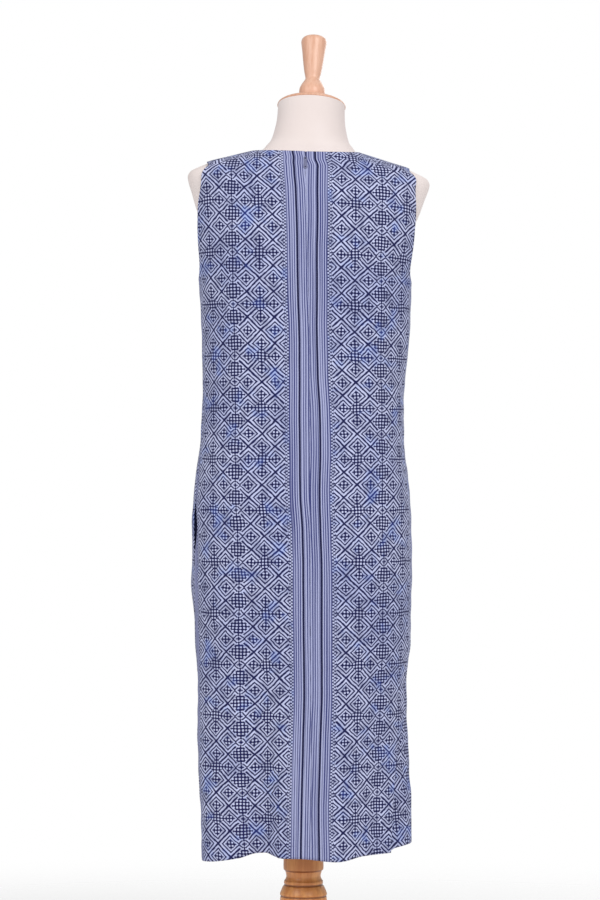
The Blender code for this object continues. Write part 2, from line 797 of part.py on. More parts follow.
def inset_point(face, side, height, along, inset):
    """A point inside the cloth: along metres from the centre or the seam, inset metres in."""
    start = centre_angle("back", height) if face == "back" else side_angle("front", side, height)
    turn = math.radians(WALK_DEGREES) * math.copysign(1.0, along)
    if side == "right":
        turn = -turn
    left_over = abs(along)
    angle = start
    point = draped(dress_ring(height, angle))
    ahead = draped(dress_ring(height, angle + turn))
    while (ahead - point).length < left_over:
        left_over -= (ahead - point).length
        angle += turn
        point = ahead
        ahead = draped(dress_ring(height, angle + turn))
    share = left_over / (ahead - point).length
    gradient = slope_of(dress_ring(height, angle + turn * share))
    gradient.z = 0.0
    return point.lerp(ahead, share) - gradient.normalized() * inset


def add_zip():
    """Tapes and coil of the concealed zip, behind the centre back seam."""
    heights = [ZIP_FOOT + (ZIP_TOP - ZIP_FOOT) * i / ZIP_ROWS for i in range(ZIP_ROWS + 1)]
    half_coil = COIL_WIDTH / 2.0
    near = half_coil + TAPE_GAP
    for side in ("left", "right"):
        rows = [[inset_point("back", side, height, along, TAPE_INSET)
                 for along in (near, near + TAPE_WIDTH)] for height in heights]
        name = "zip_tape_" + side
        tape = add_object(name, sheet_mesh(name, rows, side == "right"), "zip_tape")
        thicken(tape, TAPE_THICKNESS, 1.0)
    rows = [[inset_point("back", side, height, half_coil, COIL_INSET)
             for side in ("left", "right")] for height in heights]
    coil = add_object("zip_coil", sheet_mesh("zip_coil", rows, True), "zip_tape")
    thicken(coil, COIL_THICKNESS, 1.0)


def centre_back(height):
    """Outer face of the cloth on the centre back seam, leaned with the form."""
    x = CENTRES.at("back", height)
    seat = lean(draped(on_face("back", x, height)))
    return seat - Vector((0.0, CLOTH, 0.0))


def slider_frame():
    """Place and turn of the slider: Y into the dress, Z up along the sloping cloth."""
    seat = centre_back(SLIDER_HEIGHT)
    below = centre_back(SLIDER_HEIGHT - PULL_LENGTH)
    up = (seat - below).normalized()
    slope = math.atan2(up.y, up.z)
    turn = Matrix.Rotation(-slope, 4, "X")
    stand_off = PULL_THICKNESS / 2.0 + PULL_REST_GAP
    return Matrix.Translation(seat) @ turn @ Matrix.Translation((0.0, -stand_off, 0.0))


def box_mesh(name, size, centre):
    made = bmesh.new()
    bmesh.ops.create_cube(made, size=1.0, matrix=Matrix.Translation(centre) @ Matrix.Diagonal((*size, 1.0)))
    mesh = bpy.data.meshes.new(name)
    made.to_mesh(mesh)
    made.free()
    return mesh


def add_slider(frame):
    """The slider's body inside the dress, with its bridge ring out through the seam."""
    wall = PULL_THICKNESS / 2.0 + PULL_REST_GAP + CLOTH
    body_y = wall + SLIDER_GAP + SLIDER_DEEP / 2.0
    size = (SLIDER_WIDE, SLIDER_DEEP, SLIDER_TALL)
    body = add_object("zip_slider", box_mesh("zip_slider", size, (0.0, body_y, 0.0)), "zip_metal")
    body.matrix_world = frame
    bpy.ops.mesh.primitive_torus_add(
        major_radius=BRIDGE_RADIUS, minor_radius=BRIDGE_WIRE, major_segments=20, minor_segments=8)
    bridge = bpy.context.object
    bridge.name = "slider_bridge_cutter"
    bridge.matrix_world = frame @ Matrix.Rotation(math.radians(90.0), 4, "Y")
    neck_front = BRIDGE_RADIUS - BRIDGE_WIRE * 0.4
    neck_deep = body_y - neck_front
    neck = bpy.data.objects.new("slider_neck_cutter", box_mesh(
        "slider_neck", (NECK_WIDE, neck_deep, NECK_TALL), (0.0, neck_front + neck_deep / 2.0, 0.0)))
    neck.matrix_world = frame
    cutters = bpy.data.collections["cutters"]
    for cutter in (bridge, neck):
        for home in list(cutter.users_collection):
            home.objects.unlink(cutter)
        cutters.objects.link(cutter)
        cutter.hide_render = True
        cutter.display_type = "WIRE"
        joining = body.modifiers.new("join", "BOOLEAN")
        joining.operation = "UNION"
        joining.solver = "EXACT"
        joining.object = cutter


def outline_spline(curve, points):
    spline = curve.splines.new("POLY")
    spline.points.add(len(points) - 1)
    for spot, (x, y) in zip(spline.points, points):
        spot.co = (x, y, 0.0, 1.0)
    spline.use_cyclic_u = True


def add_pull(frame):
    """The drop-shaped pull tab: a flat plate whose slot goes round the slider's bridge."""
    tail_y = PULL_HEAD_TOP - PULL_LENGTH + PULL_TAIL_HALF
    outline = []
    for i in range(TAIL_STEPS + 1):
        turn = math.pi + math.pi * i / TAIL_STEPS
        outline.append((PULL_TAIL_HALF * math.cos(turn), tail_y + PULL_TAIL_HALF * math.sin(turn)))
    head_y = PULL_HEAD_TOP - PULL_CORNER
    for i in range(CORNER_STEPS + 1):
        turn = 0.5 * math.pi * i / CORNER_STEPS
        outline.append((PULL_HEAD_HALF - PULL_CORNER + PULL_CORNER * math.cos(turn),
                        head_y + PULL_CORNER * math.sin(turn)))
    outline += [(-x, y) for x, y in reversed(outline[-CORNER_STEPS - 1:])]
    slot = [(-PULL_SLOT_HALF, PULL_SLOT_TOP), (PULL_SLOT_HALF, PULL_SLOT_TOP),
            (PULL_SLOT_HALF, PULL_SLOT_FOOT), (-PULL_SLOT_HALF, PULL_SLOT_FOOT)]
    curve = bpy.data.curves.new("zip_pull", "CURVE")
    curve.dimensions = "2D"
    curve.fill_mode = "BOTH"
    curve.extrude = PULL_THICKNESS / 2.0
    outline_spline(curve, outline)
    outline_spline(curve, slot)
    pull = add_object("zip_pull", curve, "zip_metal")
    pull.matrix_world = frame @ Matrix.Rotation(math.radians(90.0), 4, "X")


def add_pockets():
    """Pocket bags: each a folded layer of cloth inside the front, open at the side seam."""
    foot = POCKET_BAG.keys[0]
    top = POCKET_BAG.keys[-1]
    for side in ("left", "right"):
        rows = []
        for level in range(BAG_ROWS + 1):
            height = foot + (top - foot) * level / BAG_ROWS
            reach = POCKET_BAG.at("reach", height)
            spots = [(BAG_MOUTH + (reach - BAG_MOUTH) * i / BAG_COLUMNS, BAG_OUTER_INSET)
                     for i in range(BAG_COLUMNS + 1)]
            middle = (BAG_OUTER_INSET + BAG_INNER_INSET) / 2.0
            spots.append((reach + BAG_ROUND, middle))
            start = -BAG_BEHIND
            spots += [(start + (reach - start) * i / BAG_COLUMNS, BAG_INNER_INSET)
                      for i in range(BAG_COLUMNS, -1, -1)]
            rows.append([inset_point("front", side, height, along, inset)
                         for along, inset in spots])
        name = "pocket_bag_" + side
        bag = add_object(name, sheet_mesh(name, rows, side == "right"), "pocketing")
        thicken(bag, BAG_CLOTH, 0.0)


def form_height_rows():
    """The form's ring heights: the table's own, with one more between rows far apart."""
    heights = []
    for low, high in zip(FORM.keys, FORM.keys[1:]):
        heights.append(low)
        if high - low > FORM_RINGS_APART:
            heights.append((low + high) / 2.0)
    return heights + [FORM.keys[-1]]


def add_form():
    """The padded torso and neck, as one closed loft of rings."""
    made = bmesh.new()
    rings = []
    for height in form_height_rows():
        half, back, front, square, nod = (FORM.at(n, height) for n in FORM.columns[1:])
        middle = (front - back) / 2.0
        ring = []
        for i in range(FORM_SEGMENTS):
            angle = 2.0 * math.pi * i / FORM_SEGMENTS
            x, y = ring_point(half, half, back, front, square, angle)
            rise = -math.tan(math.radians(nod)) * (y - middle) - SHOULDER_REST
            ring.append(made.verts.new(lean(Vector((x, y, height + rise)))))
        rings.append(ring)
    for lower, upper in zip(rings, rings[1:]):
        for i in range(FORM_SEGMENTS):
            j = (i + 1) % FORM_SEGMENTS
            made.faces.new((lower[j], lower[i], upper[i], upper[j]))
    made.faces.new(rings[0])
    made.faces.new(rings[-1][::-1])
    bmesh.ops.recalc_face_normals(made, faces=made.faces)
    mesh = bpy.data.meshes.new("form_torso")
    made.to_mesh(mesh)
    made.free()
    mesh.shade_smooth()
    mesh.set_sharp_from_angle(angle=math.radians(50.0))
    add_object("form_torso", mesh, "form_cover")


def turned(name, profile, steps, finish):
    """A turned solid: the profile's outer side runs from top to bottom at +X, then screws."""
    mesh = bpy.data.meshes.new(name)
    points = [(radius, 0.0, height) for radius, height in profile]
    edges = [(i, i + 1) for i in range(len(points) - 1)]
    mesh.from_pydata(points, edges, [])
    piece = add_object(name, mesh, finish)
    screw = piece.modifiers.new("turn", "SCREW")
    screw.steps = steps
    screw.render_steps = steps
    screw.use_merge_vertices = True
    screw.merge_threshold = 0.00005
    screw.use_smooth_shade = True
    return piece


def add_neck_pieces():
    """The wooden cap on the neck and the finial on it, both nodding forwards with the neck."""
    centre = lean(Vector(CAP_CENTRE))
    tilt = Matrix.Rotation(-CAP_NOD, 4, "X") @ Matrix.Rotation(LEAN_ANGLE, 4, "Y")
    cap = turned("neck_cap", CAP_PROFILE, TURNED_STEPS, "light_wood")
    cap.matrix_world = Matrix.Translation(centre) @ tilt
    finial = turned("finial", FINIAL_PROFILE, TURNED_STEPS, "light_wood")
    seat = centre + tilt.to_3x3() @ Vector((0.0, 0.0, FINIAL_SEAT))
    finial.matrix_world = Matrix.Translation(seat) @ tilt


def add_stand():
    """The pole, column and base under the form."""
    pole_profile = ((0.0, POLE_TOP), (POLE_RADIUS, POLE_TOP), (POLE_RADIUS, POLE_FOOT),
                    (0.0, POLE_FOOT))
    turned("stand_pole", pole_profile, TURNED_STEPS, "pole_steel")
    turned("stand_column", COLUMN_PROFILE, TURNED_STEPS, "stand_wood")
    turned("stand_base", BASE_PROFILE, BASE_STEPS, "stand_wood")


clear_scene()
for collection_name in (COLLECTION_NAME, "cutters"):
    collection = bpy.data.collections.new(collection_name)
    bpy.context.scene.collection.children.link(collection)
add_stand()
add_form()
add_neck_pieces()
add_panels()
add_pockets()
add_zip()
zip_frame = slider_frame()
add_slider(zip_frame)
add_pull(zip_frame)
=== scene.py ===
"""A batik sheath dress on its dress form: the cloth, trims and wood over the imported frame.

Metres, +Z up. The back of the dress faces -Y, and the wearer's right side is at +X.
"""
import math

import bmesh
import bpy
import numpy as np
from mathutils import Matrix, Vector


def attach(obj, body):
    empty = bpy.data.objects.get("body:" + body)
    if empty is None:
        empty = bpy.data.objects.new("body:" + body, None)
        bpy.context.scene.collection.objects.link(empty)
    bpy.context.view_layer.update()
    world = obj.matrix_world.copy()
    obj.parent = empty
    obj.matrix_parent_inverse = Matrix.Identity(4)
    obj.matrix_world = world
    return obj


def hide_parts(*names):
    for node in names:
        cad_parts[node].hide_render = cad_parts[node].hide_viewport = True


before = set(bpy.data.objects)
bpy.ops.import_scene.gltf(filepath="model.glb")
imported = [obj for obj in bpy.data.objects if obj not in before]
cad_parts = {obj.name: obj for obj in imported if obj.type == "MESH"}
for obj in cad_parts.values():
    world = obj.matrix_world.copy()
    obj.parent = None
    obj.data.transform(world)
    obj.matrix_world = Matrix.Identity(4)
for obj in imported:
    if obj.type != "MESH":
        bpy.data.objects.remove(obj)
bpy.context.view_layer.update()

# ---------------------------------------------------------------------------
# Camera: level with the waist, square to the back of the dress and 5 m away, so that the
# photograph's 900 rows span 1.4175 m of the form's own plane.
CAMERA_DISTANCE = 5.0
FIELD_HEIGHT = 1.4175
FIELD_CENTRE = (-0.0055, 0.941)


def linked(name, data):
    """Makes an object of the data and puts it into the scene."""
    made = bpy.data.objects.new(name, data)
    bpy.context.scene.collection.objects.link(made)
    return made


camera_data = bpy.data.cameras.new("camera")
camera_data.sensor_fit = "VERTICAL"
camera_data.angle = 2.0 * math.atan(FIELD_HEIGHT / 2.0 / CAMERA_DISTANCE)
camera = linked("camera", camera_data)
camera.location = (FIELD_CENTRE[0], -CAMERA_DISTANCE, FIELD_CENTRE[1])
camera.rotation_euler = (math.pi / 2.0, 0.0, 0.0)
bpy.context.scene.camera = camera
bpy.context.scene.view_settings.view_transform = "Standard"

# ---------------------------------------------------------------------------
# Studio: a round of white paper under the form, paling away at its edge into a white room,
# with a large soft light to the camera's right, a weaker one to its left and one in front.
PAPER_RADIUS = 3.2
PAPER_SIDES = 64
PAPER_FADES = (1.0, 2.4)
ROOM_LIGHT = 0.55
WALL_RADIUS = 14.0
WHITE = (1.0, 1.0, 1.0, 1.0)
UNTURNED = (0.0, 0.0, 0.0)
EVEN = (1.0, 1.0, 1.0)


class Value:
    """What a recipe works out at each point: sums on it add the nodes that do them."""

    def __init__(self, bench, socket):
        self.bench, self.socket = bench, socket

    def __add__(self, other):
        return self.bench.math("ADD", self, other)

    def __sub__(self, other):
        return self.bench.math("SUBTRACT", self, other)

    def __rsub__(self, other):
        return self.bench.math("SUBTRACT", other, self)

    def __mul__(self, other):
        return self.bench.math("MULTIPLY", self, other)

    def __truediv__(self, other):
        return self.bench.math("DIVIDE", self, other)

    def __abs__(self):
        return self.bench.math("ABSOLUTE", self)

    __radd__, __rmul__ = __add__, __mul__


def fed(tree, socket, value):
    """Joins a socket to what other nodes work out, or sets it to a plain value."""
    source = value.socket if isinstance(value, Value) else value
    if isinstance(source, bpy.types.NodeSocket):
        tree.links.new(source, socket)
    else:
        socket.default_value = source


def joined(tree, kind, settings={}, inputs={}):
    """A new node in a tree, with its own settings and what its inputs take."""
    made = tree.nodes.new(kind)
    for name, value in settings.items():
        setattr(made, name, value)
    for name, value in inputs.items():
        fed(tree, made.inputs[name], value)
    return made


class NodeBench:
    """Adds nodes to one material and joins them, so that a recipe reads in order."""

    def __init__(self, name):
        self.material = bpy.data.materials.new(name)
        self.material.use_nodes = True
        self.tree = self.material.node_tree
        self.shader = self.tree.nodes["Principled BSDF"]

    def node(self, kind, settings={}, inputs={}):
        return joined(self.tree, kind, settings, inputs)

    def surface(self, values):
        """Feeds the shader's own sockets."""
        for name, value in values.items():
            fed(self.tree, self.shader.inputs[name], value)

    def shown(self, shader_output):
        fed(self.tree, self.tree.nodes["Material Output"].inputs["Surface"], shader_output)

    def math(self, operation, first, second=0.0, third=0.0):
        made = self.node("ShaderNodeMath", {"operation": operation}, {0: first, 1: second, 2: third})
        return Value(self, made.outputs[0])

    def blend(self, share, first, second):
        """A colour between two: first at share 0, second at share 1."""
        made = self.node("ShaderNodeMix", {"data_type": "RGBA"}, {0: share, 6: first, 7: second})
        return Value(self, made.outputs[2])

    def soft_step(self, value, low, high):
        """0 below low, 1 above high, smooth between them."""
        made = self.node("ShaderNodeMapRange", {"interpolation_type": "SMOOTHSTEP"},
                         {0: value, 1: low, 2: high})
        return Value(self, made.outputs[0])

    def place(self, source, scale=EVEN, turn=UNTURNED):
        """Object coordinates, or a named UV map, stretched by scale."""
        if source == "object":
            start = self.node("ShaderNodeTexCoord").outputs["Object"]
        else:
            start = self.node("ShaderNodeUVMap", {"uv_map": source}).outputs[0]
        return self.node("ShaderNodeMapping", {},
                         {"Vector": start, "Scale": scale, "Rotation": turn}).outputs[0]

    def parts(self, vector):
        """The three numbers of a vector."""
        made = self.node("ShaderNodeSeparateXYZ", {}, {0: vector})
        return [Value(self, output) for output in made.outputs]

    def noise(self, place, scale, detail=2.0, rough=0.5):
        made = self.node("ShaderNodeTexNoise", {}, {"Vector": place, "Scale": scale,
                                                    "Detail": detail, "Roughness": rough})
        return Value(self, made.outputs["Fac"])

    def bump(self, height, depth, strength=1.0):
        made = self.node("ShaderNodeBump", {}, {"Height": height, "Distance": depth,
                                                "Strength": strength})
        self.surface({"Normal": made.outputs[0]})


def arc_spots(radius, steps, start=0.0, sweep=2.0 * math.pi, centre=(0.0, 0.0)):
    """Spots along part of a circle, both ends in."""
    turns = [start + sweep * i / steps for i in range(steps + 1)]
    return [(centre[0] + radius * math.cos(turn), centre[1] + radius * math.sin(turn))
            for turn in turns]


paper = NodeBench("studio_paper")
paper.surface({"Base Color": (0.96, 0.96, 0.96, 1.0), "Roughness": 0.9})
paper_reach = paper.node("ShaderNodeVectorMath", {"operation": "LENGTH"},
                         {0: paper.node("ShaderNodeTexCoord").outputs["Object"]})
paper_fade = paper.soft_step(paper_reach.outputs["Value"], *PAPER_FADES)
paper_clear = paper.node("ShaderNodeBsdfTransparent").outputs[0]
paper.shown(paper.node("ShaderNodeMixShader", {}, {0: paper_fade, 1: paper.shader.outputs[0],
                                                   2: paper_clear}).outputs[0])
paper_mesh = bpy.data.meshes.new("paper_floor")
paper_mesh.from_pydata([(x, y, 0.0) for x, y in arc_spots(PAPER_RADIUS, PAPER_SIDES)[:-1]], [],
                       [tuple(range(PAPER_SIDES))])
paper_mesh.materials.append(paper.material)
linked("paper_floor", paper_mesh)


def soft_light(name, place, target, size, watts):
    data = bpy.data.lights.new(name, "AREA")
    data.shape = "SQUARE"
    data.size = size
    data.energy = watts
    lamp = linked(name, data)
    lamp.location = place
    lamp.visible_camera = False
    lamp.rotation_euler = (Vector(target) - Vector(place)).to_track_quat("-Z", "Y").to_euler()


soft_light("key_light", (1.8, -3.0, 3.2), (0.0, 0.0, 1.4), 2.0, 68.0)
soft_light("fill_light", (-2.3, -2.9, 2.8), (0.0, 0.0, 1.4), 2.4, 46.0)
soft_light("front_light", (1.6, 3.4, 2.4), (0.0, 0.0, 0.9), 2.2, 34.0)
world = bpy.data.worlds.new("studio")
bpy.context.scene.world = world
world.use_nodes = True
room = world.node_tree.nodes["Background"].inputs
room["Color"].default_value = WHITE
room["Strength"].default_value = ROOM_LIGHT

# the room's white walls are seen by the camera, and are neither lit nor lighting anything
wall_white = NodeBench("white_wall")
wall_white.material.cycles.emission_sampling = "NONE"
wall_white.shown(wall_white.node("ShaderNodeEmission", {}, {"Color": WHITE}).outputs[0])
wall_shape = bmesh.new()
bmesh.ops.create_icosphere(wall_shape, subdivisions=4, radius=WALL_RADIUS)
bmesh.ops.reverse_faces(wall_shape, faces=wall_shape.faces)
wall_mesh = bpy.data.meshes.new("white_walls")
wall_shape.to_mesh(wall_mesh)
wall_shape.free()
wall_mesh.materials.append(wall_white.material)
walls = linked("white_walls", wall_mesh)
for ray in ("diffuse", "glossy", "transmission", "volume_scatter", "shadow"):
    setattr(walls, "visible_" + ray, False)

# ---------------------------------------------------------------------------
# Stand: a round hardwood base, a turned hardwood column and a steel pole that runs up into
# the form. The wood is stained brown and varnished; the grooves are coloured a darker brown.
BASE_TURNING = (
    (0.0, 0.032), (0.07, 0.0318), (0.155, 0.0285), (0.193, 0.0245), (0.2015, 0.0205),
    (0.2038, 0.014), (0.203, 0.006), (0.199, 0.0), (0.0, 0.0),
)
COLUMN_TURNING = (
    (0.0, 0.338), (0.018, 0.338), (0.0235, 0.335), (0.0262, 0.329), (0.029, 0.32),
    (0.0312, 0.306), (0.0316, 0.287), (0.0314, 0.2808), (0.029, 0.2792), (0.028, 0.276),
    (0.0268, 0.27), (0.0285, 0.2655), (0.0307, 0.263), (0.0307, 0.259), (0.0296, 0.2572),
    (0.0318, 0.2552), (0.0345, 0.25), (0.0368, 0.244), (0.0372, 0.2412), (0.0356, 0.2396),
    (0.0366, 0.238), (0.0372, 0.225), (0.0362, 0.208), (0.0318, 0.184), (0.0268, 0.156),
    (0.024, 0.125), (0.0236, 0.095), (0.0262, 0.068), (0.033, 0.048), (0.045, 0.036),
    (0.056, 0.0323), (0.0, 0.0323),
)
POLE_TURNING = ((0.0, 0.696), (0.0125, 0.696), (0.0125, 0.3383), (0.0, 0.3383))
ON_AXIS = 0.00001
CORNER_SHARES = (0.82, 0.18)


def rounded_profile(points, times):
    """Cuts a profile's corners, so that the turned shape reads as worked by a gouge."""
    near, far = CORNER_SHARES
    for _ in range(times):
        cut = [points[0]]
        for a, b in zip(points[:-1], points[1:]):
            cut.append((a[0] * near + b[0] * far, a[1] * near + b[1] * far))
            cut.append((a[0] * far + b[0] * near, a[1] * far + b[1] * near))
        points = cut + [points[-1]]
    return [(r, z) for r, z in points if r > ON_AXIS or (r, z) in (points[0], points[-1])]


def finished(name, shape, sharp=None, place=Matrix.Identity(4)):
    """Turns a worked shape into a placed piece, smooth but for edges sharper than an angle."""
    bmesh.ops.recalc_face_normals(shape, faces=shape.faces)
    bmesh.ops.transform(shape, matrix=place, verts=shape.verts)
    mesh = bpy.data.meshes.new(name)
    shape.to_mesh(mesh)
    shape.free()
    mesh.shade_smooth()
    if sharp:
        mesh.set_sharp_from_angle(angle=math.radians(sharp))
    return linked(name, mesh)


def turned_piece(name, points, sides, place=Matrix.Identity(4)):
    """A lathe-turned solid from its profile, top to bottom, placed within its own mesh."""
    made = bmesh.new()
    rings = []
    for radius, height in points:
        spots = [(0.0, 0.0)] if radius < ON_AXIS else arc_spots(radius, sides)[:-1]
        rings.append([made.verts.new((x, y, height)) for x, y in spots])
    for upper, lower in zip(rings, rings[1:]):
        for i in range(sides):
            j = (i + 1) % sides
            if len(upper) == 1:
                made.faces.new((upper[0], lower[i], lower[j]))
            elif len(lower) == 1:
                made.faces.new((upper[i], lower[0], upper[j]))
            else:
                made.faces.new((upper[i], lower[i], lower[j], upper[j]))
    return finished(name, made, 48.0, place)


def srgb(red, green, blue):
    """A colour given as 0 to 255, as linear light."""
    return (*(((c / 255.0 + 0.055) / 1.055) ** 2.4 if c > 10.3 else c / 255.0 / 12.92
              for c in (red, green, blue)), 1.0)


def wood_material(name, pale, dark, grain, turn=UNTURNED, grooves=()):
    """Varnished wood: fibres along the turning's own axis, and a darker brown in its grooves."""
    bench = NodeBench(name)
    fibre = bench.noise(bench.place("object", (1.0, 1.0, 0.07), turn), grain, 5.0, 0.6)
    broad = bench.noise(bench.place("object", (1.0, 1.0, 0.2), turn), grain * 0.12, 2.0)
    colour = bench.blend(bench.soft_step(fibre * 0.6 + broad * 0.4, 0.35, 0.66), dark, pale)
    if grooves:
        # the grooves are coloured a darker brown
        height = bench.parts(bench.place("object"))[2]
        in_grooves = 0.0
        for level, half in grooves:
            near = 1.0 - bench.soft_step(abs(height - level), half * 0.4, half * 1.6)
            in_grooves = bench.math("MAXIMUM", in_grooves, near)
        colour = bench.blend(in_grooves * 0.85, colour,
                             (dark[0] * 0.35, dark[1] * 0.28, dark[2] * 0.22, 1.0))
    bench.surface({"Base Color": colour, "Roughness": 0.42, "Coat Weight": 0.25,
                   "Coat Roughness": 0.25})
    bench.bump(fibre, 0.0002, 0.4)
    return bench.material


stand_stain = wood_material(
    "stained_hardwood", srgb(240, 170, 100), srgb(202, 125, 66), 130.0,
    grooves=((0.2800, 0.0016), (0.2575, 0.0016), (0.2398, 0.0016)))
for part_name, turning, cuts, sides in (
        ("stand_base", BASE_TURNING, 2, 128), ("stand_column", COLUMN_TURNING, 2, 96)):
    piece = turned_piece("turned_" + part_name, rounded_profile(turning, cuts), sides)
    piece.data.materials.append(stand_stain)
    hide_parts(part_name)
    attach(piece, "dress_and_form")


def flecked_finish(name, grain, colours, surface, bump=None, place=("object",)):
    """A finish whose two tones, and its bump, follow one fine noise of this grain and detail."""
    bench = NodeBench(name)
    fleck = bench.noise(bench.place(*place), *grain)
    bench.surface({"Base Color": bench.blend(fleck, *colours), **surface})
    if bump:
        bench.bump(fleck, *bump)
    return bench.material


steel = flecked_finish("brushed_pole_steel", (60.0, 3.0),
                       ((0.50, 0.51, 0.53, 1.0), (0.68, 0.69, 0.70, 1.0)),
                       {"Metallic": 1.0, "Roughness": 0.34}, (0.00005, 0.3),
                       ("object", (1.0, 1.0, 60.0)))
pole = turned_piece("steel_pole", POLE_TURNING, 64)
pole.data.materials.append(steel)
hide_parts("stand_pole")
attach(pole, "dress_and_form")

# ---------------------------------------------------------------------------
# Dress form: a padded torso and neck under a smooth cream cover. Its rings are squared ovals
# read from named sections, and the upper body bends slightly towards +X.
LEAN_START = 0.90
LEAN_END = 1.41
LEAN_ANGLE = math.radians(2.2)
SHOULDER_REST = 0.0018


class Sections:
    """Rows of named columns, read at many heights at once on a curve that never overshoots."""

    def __init__(self, columns, rows):
        self.columns = columns.split()
        self.values = np.array(rows, dtype=float)
        self.keys = self.values[:, 0]
        gaps = np.diff(self.keys)[:, None]
        steps = np.diff(self.values, axis=0) / gaps
        self.slopes = np.zeros_like(self.values)
        before, after = steps[:-1], steps[1:]
        rising = before * after > 0.0
        total = np.where(rising, before + after, 1.0)
        self.slopes[1:-1] = np.where(rising, 2.0 * before * after / total, 0.0)

    def at(self, name, key):
        column = self.columns.index(name)
        key = np.clip(np.asarray(key, dtype=float), self.keys[0], self.keys[-1])
        lower = np.clip(np.searchsorted(self.keys, key, side="right") - 1, 0, len(self.keys) - 2)
        width = self.keys[lower + 1] - self.keys[lower]
        t = (key - self.keys[lower]) / width
        rise = (3.0 - 2.0 * t) * t * t
        return (self.values[lower, column] * (1.0 - rise) + self.values[lower + 1, column] * rise
                + self.slopes[lower, column] * width * t * (1.0 - t) ** 2
                - self.slopes[lower + 1, column] * width * t * t * (1.0 - t))


def leaned(points):
    """Carries points of the upright body over with the form's slight lean towards +X."""
    rise = np.maximum(0.0, points[..., 2] - LEAN_START)
    reach = LEAN_END - LEAN_START
    bent = np.minimum(rise, reach)
    angle = LEAN_ANGLE * bent / reach
    shift = 0.5 * angle * bent + LEAN_ANGLE * np.maximum(0.0, rise - reach)
    moved = points.copy()
    moved[..., 0] = points[..., 0] + shift
    moved[..., 2] = points[..., 2] - angle * points[..., 0]
    return moved


def squared_oval(left, right, back, front, square, angle):
    """0 at +X, a quarter turn at the back, a half turn at -X and three quarters in front."""
    across = np.cos(angle)
    out = np.sin(angle)
    across = np.sign(across) * np.abs(across) ** (2.0 / square)
    out = np.sign(out) * np.abs(out) ** (2.0 / square)
    return across * np.where(across > 0.0, right, left), -out * np.where(out > 0.0, back, front)


FORM = Sections("height half back front square nod", (
    (0.7, 0.154, 0.092, 0.082, 2.2, 0.0),
    (0.703, 0.158, 0.096, 0.086, 2.2, 0.0),
    (0.71, 0.16, 0.098, 0.088, 2.2, 0.0),
    (0.75, 0.162, 0.1065, 0.0945, 2.2, 0.0),
    (0.795, 0.1622, 0.111, 0.098, 2.2, 0.0),
    (0.84, 0.1595, 0.109, 0.099, 2.2, 0.0),
    (0.89, 0.15, 0.099, 0.097, 2.2, 0.0),
    (0.945, 0.1315, 0.086, 0.09, 2.15, 0.0),
    (0.99, 0.121, 0.0785, 0.086, 2.15, 0.0),
    (1.035, 0.1205, 0.0785, 0.089, 2.15, 0.0),
    (1.085, 0.131, 0.0845, 0.106, 2.2, 0.0),
    (1.145, 0.1475, 0.093, 0.1265, 2.25, 0.0),
    (1.2, 0.154, 0.0965, 0.122, 2.25, 0.0),
    (1.25, 0.158, 0.098, 0.106, 2.25, 0.0),
    (1.29, 0.165, 0.096, 0.09, 2.25, 0.0),
    (1.32, 0.1765, 0.092, 0.0795, 2.25, 0.0),
    (1.342, 0.1835, 0.0875, 0.0725, 2.3, 0.0),
    (1.358, 0.189, 0.0825, 0.068, 2.3, 0.0),
    (1.366, 0.1905, 0.0785, 0.066, 2.3, 0.0),
    (1.374, 0.187, 0.075, 0.0645, 2.3, 0.0),
    (1.38, 0.177, 0.0725, 0.063, 2.3, 0.0),
    (1.384, 0.168, 0.071, 0.0592, 2.3, 0.0),
    (1.3884, 0.1575, 0.07, 0.0567, 2.3, 0.0),
    (1.395, 0.1336, 0.066, 0.0527, 2.3, 0.0),
    (1.4015, 0.1101, 0.062, 0.0512, 2.3, 0.0),
    (1.408, 0.0866, 0.0575, 0.051, 2.28, 0.0),
    (1.4102, 0.079, 0.056, 0.0515, 2.25, 0.0),
    (1.413, 0.0735, 0.0545, 0.0535, 2.2, 0.4),
    (1.418, 0.0695, 0.0528, 0.058, 2.15, 1.0),
    (1.428, 0.0615, 0.0495, 0.0585, 2.05, 3.0),
    (1.442, 0.057, 0.0465, 0.0595, 2.0, 6.5),
    (1.46, 0.0535, 0.0445, 0.0605, 2.0, 11.0),
    (1.475, 0.0527, 0.044, 0.0615, 2.0, 14.0),
    (1.4826, 0.0525, 0.0438, 0.0617, 2.0, 15.4),
))
FORM_SIDES = 128
FORM_RINGS_BETWEEN = 3


def grid_faces(rows, columns, closed=False):
    """Faces between the points of a grid, row by row; closed joins the ends of the rows."""
    return [(i * columns + j, i * columns + (j + 1) % columns,
             (i + 1) * columns + (j + 1) % columns, (i + 1) * columns + j)
            for i in range(rows - 1) for j in range(columns if closed else columns - 1)]


def form_torso():
    heights = []
    for low, high in zip(FORM.keys, FORM.keys[1:]):
        heights += [low + (high - low) * i / FORM_RINGS_BETWEEN for i in range(FORM_RINGS_BETWEEN)]
    heights = np.array(heights + [FORM.keys[-1]])[:, None]
    angle = np.linspace(0.0, 2.0 * math.pi, FORM_SIDES, endpoint=False)[None, :]
    half, back, front, square, nod = (FORM.at(n, heights) for n in FORM.columns[1:])
    x, y = squared_oval(half, half, back, front, square, angle)
    middle = (front - back) / 2.0
    z = heights - np.tan(np.radians(nod)) * (y - middle) - SHOULDER_REST
    grid = leaned(np.stack([x, y, z + 0.0 * x], axis=-1))
    rings, sides = grid.shape[:2]
    faces = grid_faces(rings, sides, True)
    faces += [tuple(range(sides)), tuple(range((rings - 1) * sides, rings * sides))]
    mesh = bpy.data.meshes.new("torso_rings")
    mesh.from_pydata(grid.reshape(-1, 3).tolist(), [], faces)
    shell = bmesh.new()
    shell.from_mesh(mesh)
    return finished("padded_torso", shell, 60.0)


